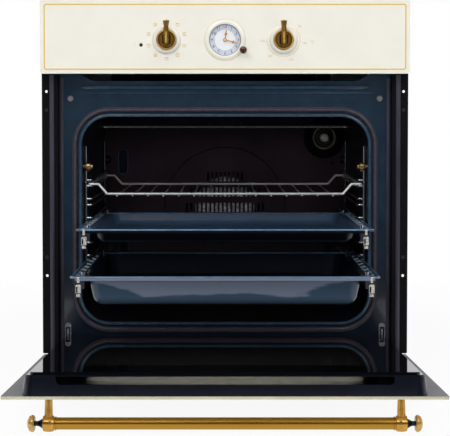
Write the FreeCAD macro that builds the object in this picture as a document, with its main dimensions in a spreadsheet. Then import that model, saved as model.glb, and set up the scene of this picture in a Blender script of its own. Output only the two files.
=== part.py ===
import FreeCAD, Part
import Sketcher
import math
import os
import re

from FreeCAD import Placement, Rotation, Vector

# Built-in electric oven: drop-down door open, two trays pulled out on telescopic runners, wire rack home.
# Origin: middle of the casing's underside. +X is the viewer's right, the front faces -Y, +Z is up.

SIZES = {
    # Outside and casing
    "overall_width": "595",
    "overall_height": "595",
    "casing_margin": "39",
    "casing_drop": "23",
    "casing_depth": "545",
    "casing_sheet": "1.2",
    # Front: depth of the face ahead of the cabinet, depth of the frame behind it
    "front_depth": "22",
    "frame_recess": "22",
    "frame_sheet": "2",
    "trim_sheet": "2",
    "trim_web": "1.5",
    "trim_offset": "6",
    "trim_bottom": "21",
    "screw_edge": "7.5",
    "screw_top_drop": "28.5",
    "screw_low": "148.5",
    "screw_hole_radius": "2.25",
    "plug_radius": "3",
    "plug_stem_radius": "1.6",
    "plug_inset": "30",
    "vent_width": "434",
    "vent_height": "11",
    "vent_slant": "20",
    "groove_width": "466",
    "groove_height": "6",
    "bumper_radius": "5",
    "bumper_inset": "18.5",
    "bumper_rise": "29.5",
    "bumper_stand": "5.5",
    # Control panel
    "fascia_height": "118",
    "control_drop": "64",
    "fascia_wall": "1.5",
    "fascia_corner": "4",
    "knob_spacing": "188",
    "knob_radius": "16",
    "knob_thickness": "10",
    "knob_stand": "0.6",
    "collar_radius": "23",
    "collar_gap": "0.6",
    "collar_height": "6",
    "lever_reach": "22",
    "lever_tail": "8",
    "lever_width": "8",
    "lever_rise": "12",
    "lever_head_radius": "5.2",
    "lever_head_length": "11",
    "lever_head_overlap": "3",
    "shaft_radius": "3",
    "shaft_length": "16",
    "running_gap": "0.05",
    "seat_gap": "0.3",
    "switch_width": "44",
    "switch_height": "40",
    "switch_depth": "30",
    "clock_radius": "25.5",
    "clock_bezel_radius": "33",
    "clock_bezel_height": "2",
    "clock_cup_radius": "28.5",
    "clock_cup_wall": "1.2",
    "clock_cup_depth": "32",
    "clock_glass_thickness": "1.2",
    "dial_setback": "5",
    "dial_thickness": "1",
    "arbor_radius": "1.5",
    "hand_thickness": "0.6",
    "hand_width": "1.6",
    "hour_hand_length": "16",
    "minute_hand_length": "22",
    "hour_hand_angle": "8.5",
    "minute_hand_angle": "104",
    "button_offset": "29.3",
    "button_drop": "16.5",
    "button_radius": "6.1",
    "button_stem_radius": "2.4",
    "button_stand": "11",
    "button_travel": "2",
    "pilot_offset": "135",
    "pilot_drop": "8",
    "pilot_radius": "3",
    # Cavity
    "opening_bottom": "69.5",
    "opening_side": "43",
    "header_height": "69.5",
    "opening_radius": "46",
    "cavity_wall": "1.5",
    "fan_space": "38",
    "back_space": "60",
    "lip_width": "5",
    "lip_stand": "4",
    "gasket_gap": "3",
    "gasket_width": "8",
    "insulation": "25",
    # Back wall
    "baffle_sheet": "1.2",
    "fan_rise": "161",
    "fan_disc_radius": "117",
    "fan_disc_rise": "1.5",
    "slot_width": "4.4",
    "slot_height": "18",
    "slot_pitch": "8.2",
    "slot_row_pitch": "30",
    "slot_field_radius": "80",
    "outlet_width": "16",
    "outlet_height": "46",
    "outlet_inset": "37",
    "outlet_rise": "88.5",
    "fan_radius": "72",
    "fan_blade_depth": "22",
    "fan_blade_sheet": "1.5",
    "fan_shaft_radius": "4",
    "motor_radius": "36",
    "ring_radius": "94",
    "element_radius": "2.8",
    "element_bend": "14",
    "element_gap": "0.6",
    "element_leg": "30",
    "grill_drop": "16.5",
    "grill_inset": "23",
    "bottom_half_width": "165",
    "lamp_inset": "42",
    "lamp_drop": "41.5",
    "lamp_radius": "22",
    "lamp_wall": "2.5",
    "lens_rise": "13",
    "baffle_screw_radius": "4",
    "baffle_screw_inset": "28",
    "baffle_screw_margin": "90",
    # Side racks and runners
    "rung_radius": "2.2",
    "rung_inset": "13",
    "post_radius": "2.4",
    "post_front": "32",
    "post_back_gap": "25",
    "level_rise": "101.5",
    "level_pitch": "31.5",
    "rung_gap": "10",
    "stud_drop": "34",
    "stud_radius": "4",
    "nut_radius": "8",
    "nut_length": "6",
    "rail_height": "16",
    "rail_width": "12",
    "rail_sheet": "1.5",
    "rail_grip": "3.5",
    "rail_slack": "0.7",
    "rail_end": "8",
    "cage_end": "6",
    "pin_radius": "2.5",
    "pin_rise": "6",
    "pin_inset": "10",
    # Trays and wire rack
    "tray_sheet": "1.2",
    "tray_side_gap": "6",
    "tray_back_gap": "27",
    "basin_gap": "3.5",
    "tray_hem": "5",
    "tray_corner": "8",
    "tray_setback": "30",
    "basin_margin": "16",
    "basin_taper": "9",
    "basin_radius": "16",
    "deep_basin": "45",
    "shallow_basin": "21",
    "flange_slot_width": "9",
    "flange_slot_length": "24",
    "lower_pull": "279",
    "upper_pull": "194",
    "grid_wire": "2",
    "grid_bar": "1.3",
    "grid_setback": "4",
    "grid_back_gap": "86",
    "grid_drop": "16",
    "grid_slope": "14",
    "grid_low_half_width": "194",
    "grid_bar_pitch": "25.4",
    # Door
    "door_open_angle": "87.3",
    "door_gap": "4",
    "door_bottom": "14",
    "door_thickness": "36",
    "panel_sheet": "4",
    "panel_corner": "3",
    "window_width": "396",
    "window_height": "261",
    "window_top_drop": "89",
    "window_corner": "22",
    "window_arch_radius": "560",
    "window_overlap": "18",
    "glass_sheet": "4",
    "liner_inset": "27",
    "liner_taper": "4",
    "liner_edge": "3",
    "liner_wall": "3",
    "liner_corner": "14",
    "liner_sill": "40",
    "liner_frame": "30",
    "liner_slot_width": "450",
    "liner_slot_height": "13",
    "hinge_height": "34",
    "hinge_setback": "20.5",
    "hinge_inset": "13",
    "hook_sheet": "5",
    "hook_height": "14",
    "hook_length": "52",
    "hook_lock_length": "12",
    "hook_lock_height": "18",
    "hinge_pin_radius": "4",
    "leaf_length": "60",
    "receiver_width": "10",
    "receiver_height": "48",
    "handle_drop": "38",
    "handle_standoff": "38",
    "handle_radius": "8.2",
    "handle_post_spacing": "476",
    "handle_post_radius": "5.5",
    "ferrule_radius": "11.4",
    "ferrule_length": "14.6",
    "finial_neck_radius": "3.4",
    "finial_neck_length": "11.4",
    "finial_radius": "11.6",
    "finial_length": "9.5",
    # Cooling blower and mains inlet
    "duct_width": "300",
    "duct_depth": "258",
    "duct_height": "48",
    "duct_gap": "5.7",
    "duct_sheet": "1.2",
    "blower_radius": "19",
    "blower_end_gap": "15",
    "blower_blade_sheet": "1.2",
    "blower_motor_size": "38",
    "inlet_box_width": "70",
    "inlet_box_height": "44",
    "inlet_box_depth": "34",
    "inlet_edge": "88",
    "inlet_drop": "72",
    "gland_radius": "9",
    "gland_length": "12",
    "gland_bore": "5.5",
}

# Sizes that follow from the ones above
FOLLOWING = {
    "casing_width": "(overall_width - casing_margin)",
    "casing_height": "(overall_height - casing_drop)",
    "door_head": "(overall_height - fascia_height)",
    "frame_height": "(door_head + 3)",
    "frame_half": "(casing_width / 2 - trim_offset)",
    "screw_spacing_wide": "(overall_width - 2 * screw_edge)",
    "screw_spacing_high": "(door_head - screw_top_drop - screw_low)",
    "screw_centre_height": "((door_head - screw_top_drop + screw_low) / 2)",
    "control_height": "(overall_height - control_drop)",
    "opening_width": "(casing_width - 2 * opening_side)",
    "opening_height": "(door_head - header_height - opening_bottom)",
    "opening_top": "(door_head - header_height)",
    "cavity_depth": "(casing_depth - frame_recess - fan_space - back_space)",
    "fan_height": "(opening_bottom + fan_rise)",
    "outlet_offset": "(opening_width / 2 - outlet_inset)",
    "motor_length": "(back_space - 16)",
    "grill_height": "(opening_top - grill_drop)",
    "grill_half_width": "(opening_width / 2 - grill_inset)",
    "lamp_offset": "(opening_width / 2 - lamp_inset)",
    "lamp_height": "(opening_top - lamp_drop)",
    "rung_offset": "(opening_width / 2 - rung_inset)",
    "post_offset": "(opening_width / 2 - post_radius - seat_gap)",
    "post_back": "(cavity_depth - post_back_gap)",
    "first_level": "(opening_bottom + level_rise)",
    "rack_bottom": "(first_level - rung_gap / 2 - 12)",
    "rack_top": "(opening_top - opening_radius - 3)",
    "stud_height": "(rack_top - stud_drop)",
    "rail_outer": "(rung_offset - rung_radius - seat_gap)",
    "rail_inner": "(rail_outer - rail_width)",
    "rail_length": "(tray_depth - 6)",
    "tray_width": "(opening_width - 2 * tray_side_gap)",
    "tray_depth": "(cavity_depth - tray_setback - tray_back_gap)",
    "basin_width": "(2 * (rail_inner - basin_gap))",
    "grid_half_width": "(rung_offset + 2)",
    "grid_depth": "(cavity_depth - grid_setback - grid_back_gap)",
    "door_top": "(door_head - door_gap)",
    "door_height": "(door_top - door_bottom)",
    "hinge_offset": "(frame_half - hinge_inset)",
    "blower_length": "(duct_width - 2 * blower_end_gap)",
    "inlet_offset": "(casing_width / 2 - inlet_edge)",
    "inlet_height": "(casing_height - inlet_drop)",
    "duct_bottom": "(opening_top + cavity_wall + seat_gap + insulation + duct_gap)",
    # Planes across the depth
    "cabinet_y": "(-casing_depth / 2)",
    "face_y": "(-casing_depth / 2 - front_depth)",
    "frame_y": "(-casing_depth / 2 + frame_recess)",
    "baffle_y": "(frame_y + cavity_depth)",
    "back_wall_y": "(baffle_y + fan_space)",
    "hinge_y": "(face_y + hinge_setback)",
}
RACK_LEVELS = 5
UPPER_LEVEL = 2
GRID_LEVEL = 4
GRID_BARS = 15
FLANGE_SLOTS = 8
FAN_BLADES = 14
BLOWER_BLADES = 18

doc = FreeCAD.newDocument("BuiltInOven")
sheet = doc.addObject("Spreadsheet::Sheet", "Dims")
for row, (alias, text) in enumerate(SIZES.items(), start=1):
    sheet.set(f"A{row}", alias)
    sheet.set(f"B{row}", text)
    sheet.setAlias(f"B{row}", alias)
doc.recompute()

SIDES = (("left", -1), ("right", 1))
TURN = {
    "x": Rotation(Vector(0, 1, 0), 90),
    "y": Rotation(Vector(1, 0, 0), -90),
    "z": Rotation(),
}
gauge = doc.addObject("Part::Vertex", "gauge")
nodes = []


def bind(text):
    """Formula with each size name written as a cell of the sheet and each following size written out."""
    def swap(hit):
        word = hit.group()
        if word in SIZES:
            return "Dims." + word
        return bind(FOLLOWING[word]) if word in FOLLOWING else word
    return re.sub(r"[a-z][a-z_]*", swap, text)


def size(text):
    """Number that a formula of the sheet's sizes comes to."""
    gauge.setExpression("X", bind(text))
    gauge.recompute()
    return gauge.X.Value


def set_sizes(obj, **formulas):
    for name, text in formulas.items():
        obj.setExpression(name, bind(text))
    return obj


def put(obj, x, y, z, turn=None):
    if turn:
        obj.Placement = Placement(Vector(), turn)
    for axis, text in zip("xyz", (x, y, z)):
        obj.setExpression("Placement.Base." + axis, bind(text))
    return obj


def box(name, length, width, height, mid_x, y, z):
    """Box centred on mid_x, running back from y and up from z."""
    solid = doc.addObject("Part::Box", name)
    set_sizes(solid, Length=length, Width=width, Height=height)
    return put(solid, f"({mid_x}) - ({length}) / 2", y, z)


def rod(name, radius, length, axis, x, y, z):
    solid = doc.addObject("Part::Cylinder", name)
    set_sizes(solid, Radius=radius, Height=length)
    return put(solid, x, y, z, TURN[axis])


def cone(name, start_radius, end_radius, length, axis, x, y, z):
    solid = doc.addObject("Part::Cone", name)
    set_sizes(solid, Radius1=start_radius, Radius2=end_radius, Height=length)
    return put(solid, x, y, z, TURN[axis])


def ellipsoid(name, half_x, half_y, half_z, x, y, z):
    solid = doc.addObject("Part::Ellipsoid", name)
    set_sizes(solid, Radius1=half_z, Radius2=half_x, Radius3=half_y)
    solid.Angle1 = -90
    solid.Angle2 = 90
    return put(solid, x, y, z)


def edges_along(shape, axis):
    names = []
    for number, edge in enumerate(shape.Edges, start=1):
        direction = edge.tangentAt(edge.FirstParameter)
        if abs(getattr(direction, axis)) > 0.99:
            names.append(f"Edge{number}")
    return names


def fillet(body, feature, names, radius):
    rounding = body.newObject("PartDesign::Fillet", body.Name + "_round")
    rounding.Base = (feature, names)
    set_sizes(rounding, Radius=radius)
    body.Tip = rounding
    return rounding


def rounded_box(name, length, width, height, mid_x, y, z, axis, radius):
    """Box as above whose four edges along one axis are rounded."""
    body = doc.addObject("PartDesign::Body", name)
    block = body.newObject("PartDesign::AdditiveBox", name + "_block")
    set_sizes(block, Length=length, Width=width, Height=height)
    doc.recompute()
    fillet(body, block, edges_along(block.Shape, axis), radius)
    return put(body, f"({mid_x}) - ({length}) / 2", y, z)


def opening_block(name, grow, y, depth):
    """Block with the cavity opening's rounded outline, grown by a margin all round."""
    return rounded_box(name, f"opening_width + 2 * ({grow})", depth, f"opening_height + 2 * ({grow})", "0",
                       y, f"opening_bottom - ({grow})", "y", f"opening_radius + ({grow})")


def wedge(name, high_width, low_width, depth, height, y, top):
    """Block that narrows downwards from its top, with upright front and back."""
    body = doc.addObject("PartDesign::Body", name)
    block = body.newObject("PartDesign::AdditiveWedge", name + "_block")
    set_sizes(block, Xmin=f"-({high_width}) / 2", Xmax=f"({high_width}) / 2", Ymin="0", Ymax=height,
              X2min=f"-({low_width}) / 2", X2max=f"({low_width}) / 2", Zmin="0", Zmax=depth, Z2min="0",
              Z2max=depth)
    return put(body, "0", y, top, TURN["y"])


def turned(name, points, x, y, z, yaw):
    """Solid of revolution from (radius, length) corners; its axis is +Y turned by yaw about Z."""
    body = doc.addObject("PartDesign::Body", name)
    sketch = body.newObject("Sketcher::SketchObject", name + "_profile")
    plane = next(item for item in body.Origin.OriginFeatures if item.Role == "XY_Plane")
    sketch.AttachmentSupport = (plane, [""])
    sketch.MapMode = "FlatFace"
    count = len(points)
    for index in range(count):
        start = Vector(5 + index, 5 + 2 * index, 0)
        end = Vector(5 + (index + 1) % count, 5 + 2 * ((index + 1) % count), 0)
        sketch.addGeometry(Part.LineSegment(start, end), False)
    for index, (radius, along) in enumerate(points):
        sketch.addConstraint(Sketcher.Constraint("Coincident", index, 2, (index + 1) % count, 1))
        for kind, text, axis in (("DistanceX", radius, -2), ("DistanceY", along, -1)):
            if text == "0":
                sketch.addConstraint(Sketcher.Constraint("PointOnObject", index, 1, axis))
            else:
                number = sketch.addConstraint(Sketcher.Constraint(kind, -1, 1, index, 1, 5.0 + index))
                sketch.setExpression(f"Constraints[{number}]", bind(text))
    doc.recompute()
    solid = body.newObject("PartDesign::Revolution", name + "_turn")
    solid.Profile = sketch
    solid.ReferenceAxis = (sketch, ["V_Axis"])
    solid.Angle = 360
    body.Tip = solid
    return put(body, x, y, z, Rotation(Vector(0, 0, 1), yaw))


def cut(name, base, *tools):
    result = doc.addObject("Part::Cut", name)
    result.Base = base
    result.Tool = tools[0] if len(tools) == 1 else group(name + "_tools", *tools)
    return result


def fuse(name, *pieces):
    result = doc.addObject("Part::MultiFuse", name)
    result.Shapes = list(pieces)
    return result


def common(name, base, tool):
    result = doc.addObject("Part::Common", name)
    result.Base = base
    result.Tool = tool
    return result


def group(name, *pieces):
    result = doc.addObject("Part::Compound", name)
    result.Links = list(pieces)
    return result


def feature(name, shape):
    result = doc.addObject("Part::Feature", name)
    result.Shape = shape
    return result


def node(name, *pieces):
    """Finished sub-part, made of one or more separate solids."""
    part = group(name, *pieces)
    part.Label = name
    nodes.append(part)
    return part


def door_node(name, *pieces):
    """Sub-part drawn with the door shut, then swung open about the hinge pins."""
    part = node(name, *pieces)
    part.setExpression("Placement.Rotation.Axis.x", "1")
    part.setExpression("Placement.Rotation.Axis.z", "0")
    part.setExpression("Placement.Rotation.Angle", bind("door_open_angle * 1deg"))
    turn_sin = "sin(door_open_angle * 1deg)"
    turn_cos = "cos(door_open_angle * 1deg)"
    part.setExpression("Placement.Base.y",
                       bind(f"hinge_y - hinge_y * {turn_cos} + hinge_height * {turn_sin}"))
    part.setExpression("Placement.Base.z",
                       bind(f"hinge_height - hinge_y * {turn_sin} - hinge_height * {turn_cos}"))
    return part


def bent_bar(points, radius, bend):
    """Round bar along a line of corners, each corner bent to the same radius."""
    corners = [Vector(*point) for point in points]
    edges = []
    last = corners[0]
    for before, corner, after in zip(corners, corners[1:], corners[2:]):
        inward = (before - corner).normalize()
        outward = (after - corner).normalize()
        half = inward.getAngle(outward) / 2
        reach = bend / math.tan(half)
        start = corner + inward * reach
        end = corner + outward * reach
        middle = (inward + outward).normalize() * (bend / math.sin(half) - bend) + corner
        edges.append(Part.LineSegment(last, start).toShape())
        edges.append(Part.Arc(start, middle, end).toShape())
        last = end
    edges.append(Part.LineSegment(last, corners[-1]).toShape())
    ring = Part.Wire([Part.makeCircle(radius, corners[0], corners[1] - corners[0])])
    return Part.Wire(edges).makePipeShell([ring], True, False)


# Casing of coated sheet
base_sheet = box("base_sheet", "casing_width", "casing_depth - frame_recess", "casing_sheet", "0",
                 "frame_y", "0")
node("casing_base", base_sheet)
top_sheet = box("top_sheet", "casing_width", "casing_depth", "casing_sheet", "0", "cabinet_y",
                "casing_height - casing_sheet")
node("casing_top", top_sheet)
side_sheets = []
for side, sign in SIDES:
    side_sheets.append(box(f"side_sheet_{side}", "casing_sheet", "casing_depth - frame_recess",
                           "casing_height - 2 * casing_sheet",
                           f"{sign} * (casing_width - casing_sheet) / 2", "frame_y", "casing_sheet"))
node("casing_sides", *side_sheets)
back_sheet = box("back_sheet", "casing_width - 2 * casing_sheet", "casing_sheet",
                 "casing_height - 2 * casing_sheet", "0", "casing_depth / 2 - casing_sheet", "casing_sheet")
back_slots = []
for column in range(2):
    for line in range(9):
        back_slots.append(box(f"back_slot_{column}_{line}", "casing_width / 4", "casing_sheet * 3", "4",
                              f"({column} - 0.5) * casing_width * 0.45",
                              "casing_depth / 2 - 2 * casing_sheet", f"casing_height * 0.15 + {line} * 12"))
gland_hole = rod("gland_hole", "gland_radius + seat_gap", "casing_sheet * 3", "y", "-inlet_offset",
                 "casing_depth / 2 - 2 * casing_sheet", "inlet_height")
node("casing_back", cut("back_panel", back_sheet, gland_hole, *back_slots))

# Side trims that lie against the cabinet's front edges
trims = []
plugs = []
for side, sign in SIDES:
    flange = rounded_box(f"trim_flange_{side}", "overall_width / 2 - frame_half", "trim_sheet",
                         "overall_height - trim_bottom - 2",
                         f"{sign} * (overall_width / 2 + frame_half) / 2",
                         "cabinet_y - trim_sheet", "trim_bottom", "y", "trim_sheet")
    web = box(f"trim_web_{side}", "trim_web", "frame_recess + frame_sheet", "frame_height - trim_bottom",
              f"{sign} * (frame_half + trim_web / 2)", "cabinet_y", "trim_bottom")
    holes = []
    for end in (-1, 1):
        hole_height = f"screw_centre_height + {end} * screw_spacing_high / 2"
        plug_height = f"screw_centre_height + {end} * (screw_spacing_high / 2 - plug_inset)"
        hole_x = f"{sign} * screw_spacing_wide / 2"
        holes.append(rod(f"screw_hole_{side}_{end}", "screw_hole_radius", "trim_sheet * 3", "y", hole_x,
                         "cabinet_y - 2 * trim_sheet", hole_height))
        holes.append(rod(f"plug_hole_{side}_{end}", "plug_stem_radius + seat_gap / 2", "trim_sheet * 3",
                         "y", hole_x, "cabinet_y - 2 * trim_sheet", plug_height))
        plug_head = rod(f"plug_head_{side}_{end}", "plug_radius", "trim_sheet / 2", "y", hole_x,
                        "cabinet_y - 1.5 * trim_sheet", plug_height)
        plug_stem = rod(f"plug_stem_{side}_{end}", "plug_stem_radius", "trim_sheet", "y", hole_x,
                        "cabinet_y - trim_sheet", plug_height)
        plugs.append(fuse(f"plug_{side}_{end}", plug_head, plug_stem))
    trims.append(cut(f"trim_{side}", fuse(f"trim_blank_{side}", flange, web), *holes))
node("side_trims", *trims)
node("trim_plugs", *plugs)

# Enamelled front frame with the cavity opening, air outlet, pressed groove and hinge slots
frame_plate = box("frame_plate", "2 * frame_half", "frame_sheet", "frame_height - casing_sheet", "0",
                  "frame_y", "casing_sheet")
frame_opening = opening_block("frame_opening", "cavity_wall + seat_gap / 2", "frame_y - 1",
                              "frame_sheet + 2")
vent = wedge("vent", "vent_width + 2 * vent_slant", "vent_width", "frame_sheet + 2", "vent_height",
             "frame_y - 1", "door_head")
groove = box("groove", "groove_width", "frame_sheet / 2 + 1", "groove_height", "0", "frame_y - 1",
             "door_head - 2.2 * vent_height")
hinge_slots = []
for side, sign in SIDES:
    hinge_slots.append(box(f"frame_hinge_slot_{side}", "hook_sheet + 2", "frame_sheet + 2",
                           "receiver_height - 14", f"{sign} * hinge_offset", "frame_y - 1",
                           "hinge_height - hook_height / 2"))
node("front_frame", cut("front_sheet", frame_plate, frame_opening, vent, groove, *hinge_slots))

bumpers = []
for side, sign in SIDES:
    bumpers.append(turned(f"bumper_{side}",
                          [("0", "0"), ("bumper_radius", "0"), ("bumper_radius", "bumper_stand * 0.7"),
                           ("bumper_radius * 0.7", "bumper_stand"), ("0", "bumper_stand")],
                          f"{sign} * (frame_half - bumper_inset)", "frame_y", "opening_top + bumper_rise",
                          180))
node("door_bumpers", *bumpers)

# Cavity: enamelled box with a raised lip round its mouth
cavity_outer = opening_block("cavity_outer", "cavity_wall", "frame_y",
                             "cavity_depth + fan_space + cavity_wall")
cavity_lip = opening_block("cavity_lip", "lip_width", "frame_y - lip_stand", "lip_stand")
cavity_inner = opening_block("cavity_inner", "0", "frame_y - lip_stand - 1",
                             "lip_stand + 1 + cavity_depth + fan_space")
shaft_hole = rod("shaft_hole", "fan_shaft_radius + 1", "cavity_wall * 3", "y", "0",
                 "back_wall_y - cavity_wall", "fan_height")
leg_holes = []
for side, sign in SIDES:
    leg_holes.append(rod(f"grill_leg_hole_{side}", "element_radius + element_gap", "cavity_wall * 3", "y",
                         f"{sign} * element_leg", "back_wall_y - cavity_wall", "grill_height"))
    leg_holes.append(rod(f"ring_leg_hole_{side}", "element_radius + element_gap", "cavity_wall * 3", "y",
                         f"{sign} * ring_radius", "back_wall_y - cavity_wall",
                         "fan_height + element_bend * 1.2"))
cavity_shell = fuse("cavity_shell", cavity_outer, cavity_lip)
node("cavity", cut("cavity_box", cavity_shell, cavity_inner, shaft_hole, *leg_holes))

gasket_outer = opening_block("gasket_outer", "lip_width + gasket_gap + gasket_width",
                             "face_y + door_thickness + seat_gap",
                             "front_depth + frame_recess - door_thickness - seat_gap")
gasket_inner = opening_block("gasket_inner", "lip_width + gasket_gap", "face_y + door_thickness - 1",
                             "front_depth + frame_recess - door_thickness + 2")
node("door_gasket", cut("gasket_ring", gasket_outer, gasket_inner))

wrap_outer = opening_block("wrap_outer", "cavity_wall + seat_gap + insulation", "frame_y + 2 * frame_sheet",
                           "cavity_depth - 2 * frame_sheet")
wrap_inner = opening_block("wrap_inner", "cavity_wall + seat_gap", "frame_y", "cavity_depth + 10")
wrap_pocket = box("wrap_pocket", "2 * bottom_half_width + 30", "cavity_depth", "3 * element_radius", "0",
                  "frame_y + post_front", "opening_bottom - cavity_wall - 3 * element_radius")
node("insulation_wrap", cut("wrap", wrap_outer, wrap_inner, wrap_pocket))

# Back wall: baffle with fan grille, hot-air outlets and lamp hole
baffle_plate = rounded_box("baffle_plate", "opening_width - 2 * seat_gap", "baffle_sheet",
                           "opening_height - 2 * seat_gap", "0", "baffle_y", "opening_bottom + seat_gap",
                           "y", "opening_radius - seat_gap")
fan_disc = rod("fan_disc", "fan_disc_radius", "fan_disc_rise + baffle_sheet", "y", "0",
               "baffle_y - fan_disc_rise", "fan_height")
baffle_holes = []
field = size("slot_field_radius")
for row in range(-2, 3):
    row_height = abs(row) * size("slot_row_pitch") + size("slot_height") / 2
    reach = math.sqrt(max(field * field - row_height * row_height, 0))
    columns = int(reach / size("slot_pitch"))
    for column in range(-columns, columns + 1):
        baffle_holes.append(box(f"grille_slot_{row + 2}_{column + columns}", "slot_width",
                                "3 * fan_disc_rise + 2 * baffle_sheet", "slot_height",
                                f"{column} * slot_pitch", "baffle_y - 2 * fan_disc_rise",
                                f"fan_height + {row} * slot_row_pitch - slot_height / 2"))
for name, x, z in (("upper_left", "-outlet_offset", "fan_height + outlet_rise"),
                   ("lower_left", "-outlet_offset", "fan_height - outlet_rise"),
                   ("lower_right", "outlet_offset", "fan_height - outlet_rise")):
    baffle_holes.append(rounded_box(f"outlet_{name}", "outlet_width", "3 * baffle_sheet", "outlet_height",
                                    x, "baffle_y - baffle_sheet", f"{z} - outlet_height / 2", "y",
                                    "outlet_width * 0.49"))
baffle_holes.append(rod("lamp_hole", "lamp_radius + seat_gap", "3 * baffle_sheet", "y", "lamp_offset",
                        "baffle_y - baffle_sheet", "lamp_height"))
baffle_screws = []
for side, sign in SIDES:
    baffle_holes.append(rod(f"baffle_leg_hole_{side}", "element_radius + element_gap", "3 * baffle_sheet",
                            "y", f"{sign} * element_leg", "baffle_y - baffle_sheet", "grill_height"))
    for end in (-1, 1):
        x = f"{sign} * (opening_width / 2 - baffle_screw_inset)"
        z = f"opening_bottom + opening_height / 2 + {end} * (opening_height / 2 - baffle_screw_margin)"
        baffle_holes.append(rod(f"baffle_screw_hole_{side}_{end}", "baffle_screw_radius / 2 + seat_gap / 2",
                                "3 * baffle_sheet", "y", x, "baffle_y - baffle_sheet", z))
        head = rod(f"baffle_screw_head_{side}_{end}", "baffle_screw_radius", "baffle_screw_radius / 2", "y",
                   x, "baffle_y - baffle_screw_radius / 2", z)
        shank = rod(f"baffle_screw_shank_{side}_{end}", "baffle_screw_radius / 2", "fan_space", "y", x,
                    "baffle_y", z)
        baffle_screws.append(fuse(f"baffle_screw_{side}_{end}", head, shank))
baffle_blank = fuse("baffle_blank", baffle_plate, fan_disc)
node("fan_baffle", cut("baffle", baffle_blank, *baffle_holes))
node("baffle_screws", *baffle_screws)

# Convection fan, its motor and the ring element round it
fan_plate_y = "back_wall_y - 8"
fan_pieces = [rod("fan_plate", "fan_radius", "fan_blade_sheet", "y", "0", fan_plate_y, "fan_height"),
              rod("fan_hub", "2 * fan_shaft_radius", "fan_blade_depth / 2 + fan_blade_sheet", "y", "0",
                  f"{fan_plate_y} - fan_blade_depth / 2", "fan_height"),
              rod("fan_shaft", "fan_shaft_radius", "8 + cavity_wall + motor_length / 2", "y", "0",
                  fan_plate_y, "fan_height")]
for blade in range(FAN_BLADES):
    angle = 360 * blade / FAN_BLADES
    vane = doc.addObject("Part::Box", f"fan_blade_{blade}")
    set_sizes(vane, Length="fan_blade_sheet", Width="fan_blade_depth + fan_blade_sheet / 2",
              Height="fan_radius * 0.55")
    turn_sin = f"sin({angle} * 1deg)"
    turn_cos = f"cos({angle} * 1deg)"
    put(vane, f"fan_radius * 0.44 * {turn_sin}", f"{fan_plate_y} - fan_blade_depth",
        f"fan_height + fan_radius * 0.44 * {turn_cos}", Rotation(Vector(0, 1, 0), angle))
    fan_pieces.append(vane)
node("convection_fan", fuse("fan_wheel", *fan_pieces))

motor_can = rod("motor_can", "motor_radius", "motor_length", "y", "0", "back_wall_y + cavity_wall",
                "fan_height")
motor_bore = rod("motor_bore", "fan_shaft_radius + running_gap", "motor_length * 0.6", "y", "0",
                 "back_wall_y + cavity_wall - 1", "fan_height")
node("fan_motor", cut("motor", motor_can, motor_bore))

tube_radius = size("element_radius")
bend = size("element_bend")
leg_end_y = size("back_wall_y + cavity_wall + 10")
fan_z = size("fan_height")
ring_y = size("baffle_y + fan_space * 0.45")
ring_size = size("ring_radius")
arc_start = Vector(-ring_size, ring_y, fan_z)
arc_end = Vector(ring_size, ring_y, fan_z)
ring_arc = Part.Arc(arc_start, Vector(0, ring_y, fan_z - ring_size), arc_end).toShape()
ring_circle = Part.Wire([Part.makeCircle(tube_radius, arc_start, Vector(0, 0, 1))])
ring_solid = Part.Wire([ring_arc]).makePipeShell([ring_circle], True, False)
ring_legs = []
for side, sign in SIDES:
    leg_z = fan_z + bend * 1.2
    leg = [(sign * ring_size, ring_y, fan_z), (sign * ring_size, ring_y, leg_z),
           (sign * ring_size, leg_end_y, leg_z)]
    ring_legs.append(bent_bar(leg, tube_radius, bend * 0.6))
node("ring_element", feature("ring_tube", ring_solid.fuse(ring_legs)))


# Grill element under the ceiling and bottom element under the floor
def heater(half_width, front_y, back_y, height):
    leg_x = size("element_leg")
    points = [(-leg_x, leg_end_y, height), (-leg_x, back_y, height), (-half_width, back_y, height),
              (-half_width, front_y, height), (half_width, front_y, height), (half_width, back_y, height),
              (leg_x, back_y, height), (leg_x, leg_end_y, height)]
    return bent_bar(points, tube_radius, bend)


grill_tube = heater(size("grill_half_width"), size("frame_y + post_front + 8"), size("baffle_y - 60"),
                    size("grill_height"))
node("grill_element", feature("grill_tube", grill_tube))
bottom_tube = heater(size("bottom_half_width"), size("frame_y + post_front + 30"), size("baffle_y - 90"),
                     size("opening_bottom - cavity_wall - seat_gap - element_radius"))
node("bottom_element", feature("bottom_tube", bottom_tube))

# Oven lamp in the back wall
lamp_tube = rod("lamp_tube", "lamp_radius", "fan_space + 2", "y", "lamp_offset", "baffle_y - 2",
                "lamp_height")
lamp_room = rod("lamp_room", "lamp_radius - lamp_wall", "fan_space - 6", "y", "lamp_offset", "baffle_y - 3",
                "lamp_height")
node("lamp_holder", cut("lamp_cup", lamp_tube, lamp_room))
dome_outer = ellipsoid("dome_outer", "lamp_radius", "lens_rise", "lamp_radius", "lamp_offset",
                       "baffle_y - 2", "lamp_height")
dome_inner = ellipsoid("dome_inner", "lamp_radius - lamp_wall", "lens_rise - lamp_wall",
                       "lamp_radius - lamp_wall", "lamp_offset", "baffle_y - 2", "lamp_height")
dome_half = box("dome_half", "4 * lamp_radius", "4 * lens_rise", "4 * lamp_radius", "lamp_offset",
                "baffle_y - 2", "lamp_height - 2 * lamp_radius")
node("lamp_lens", cut("lens", dome_outer, dome_inner, dome_half))

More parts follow.
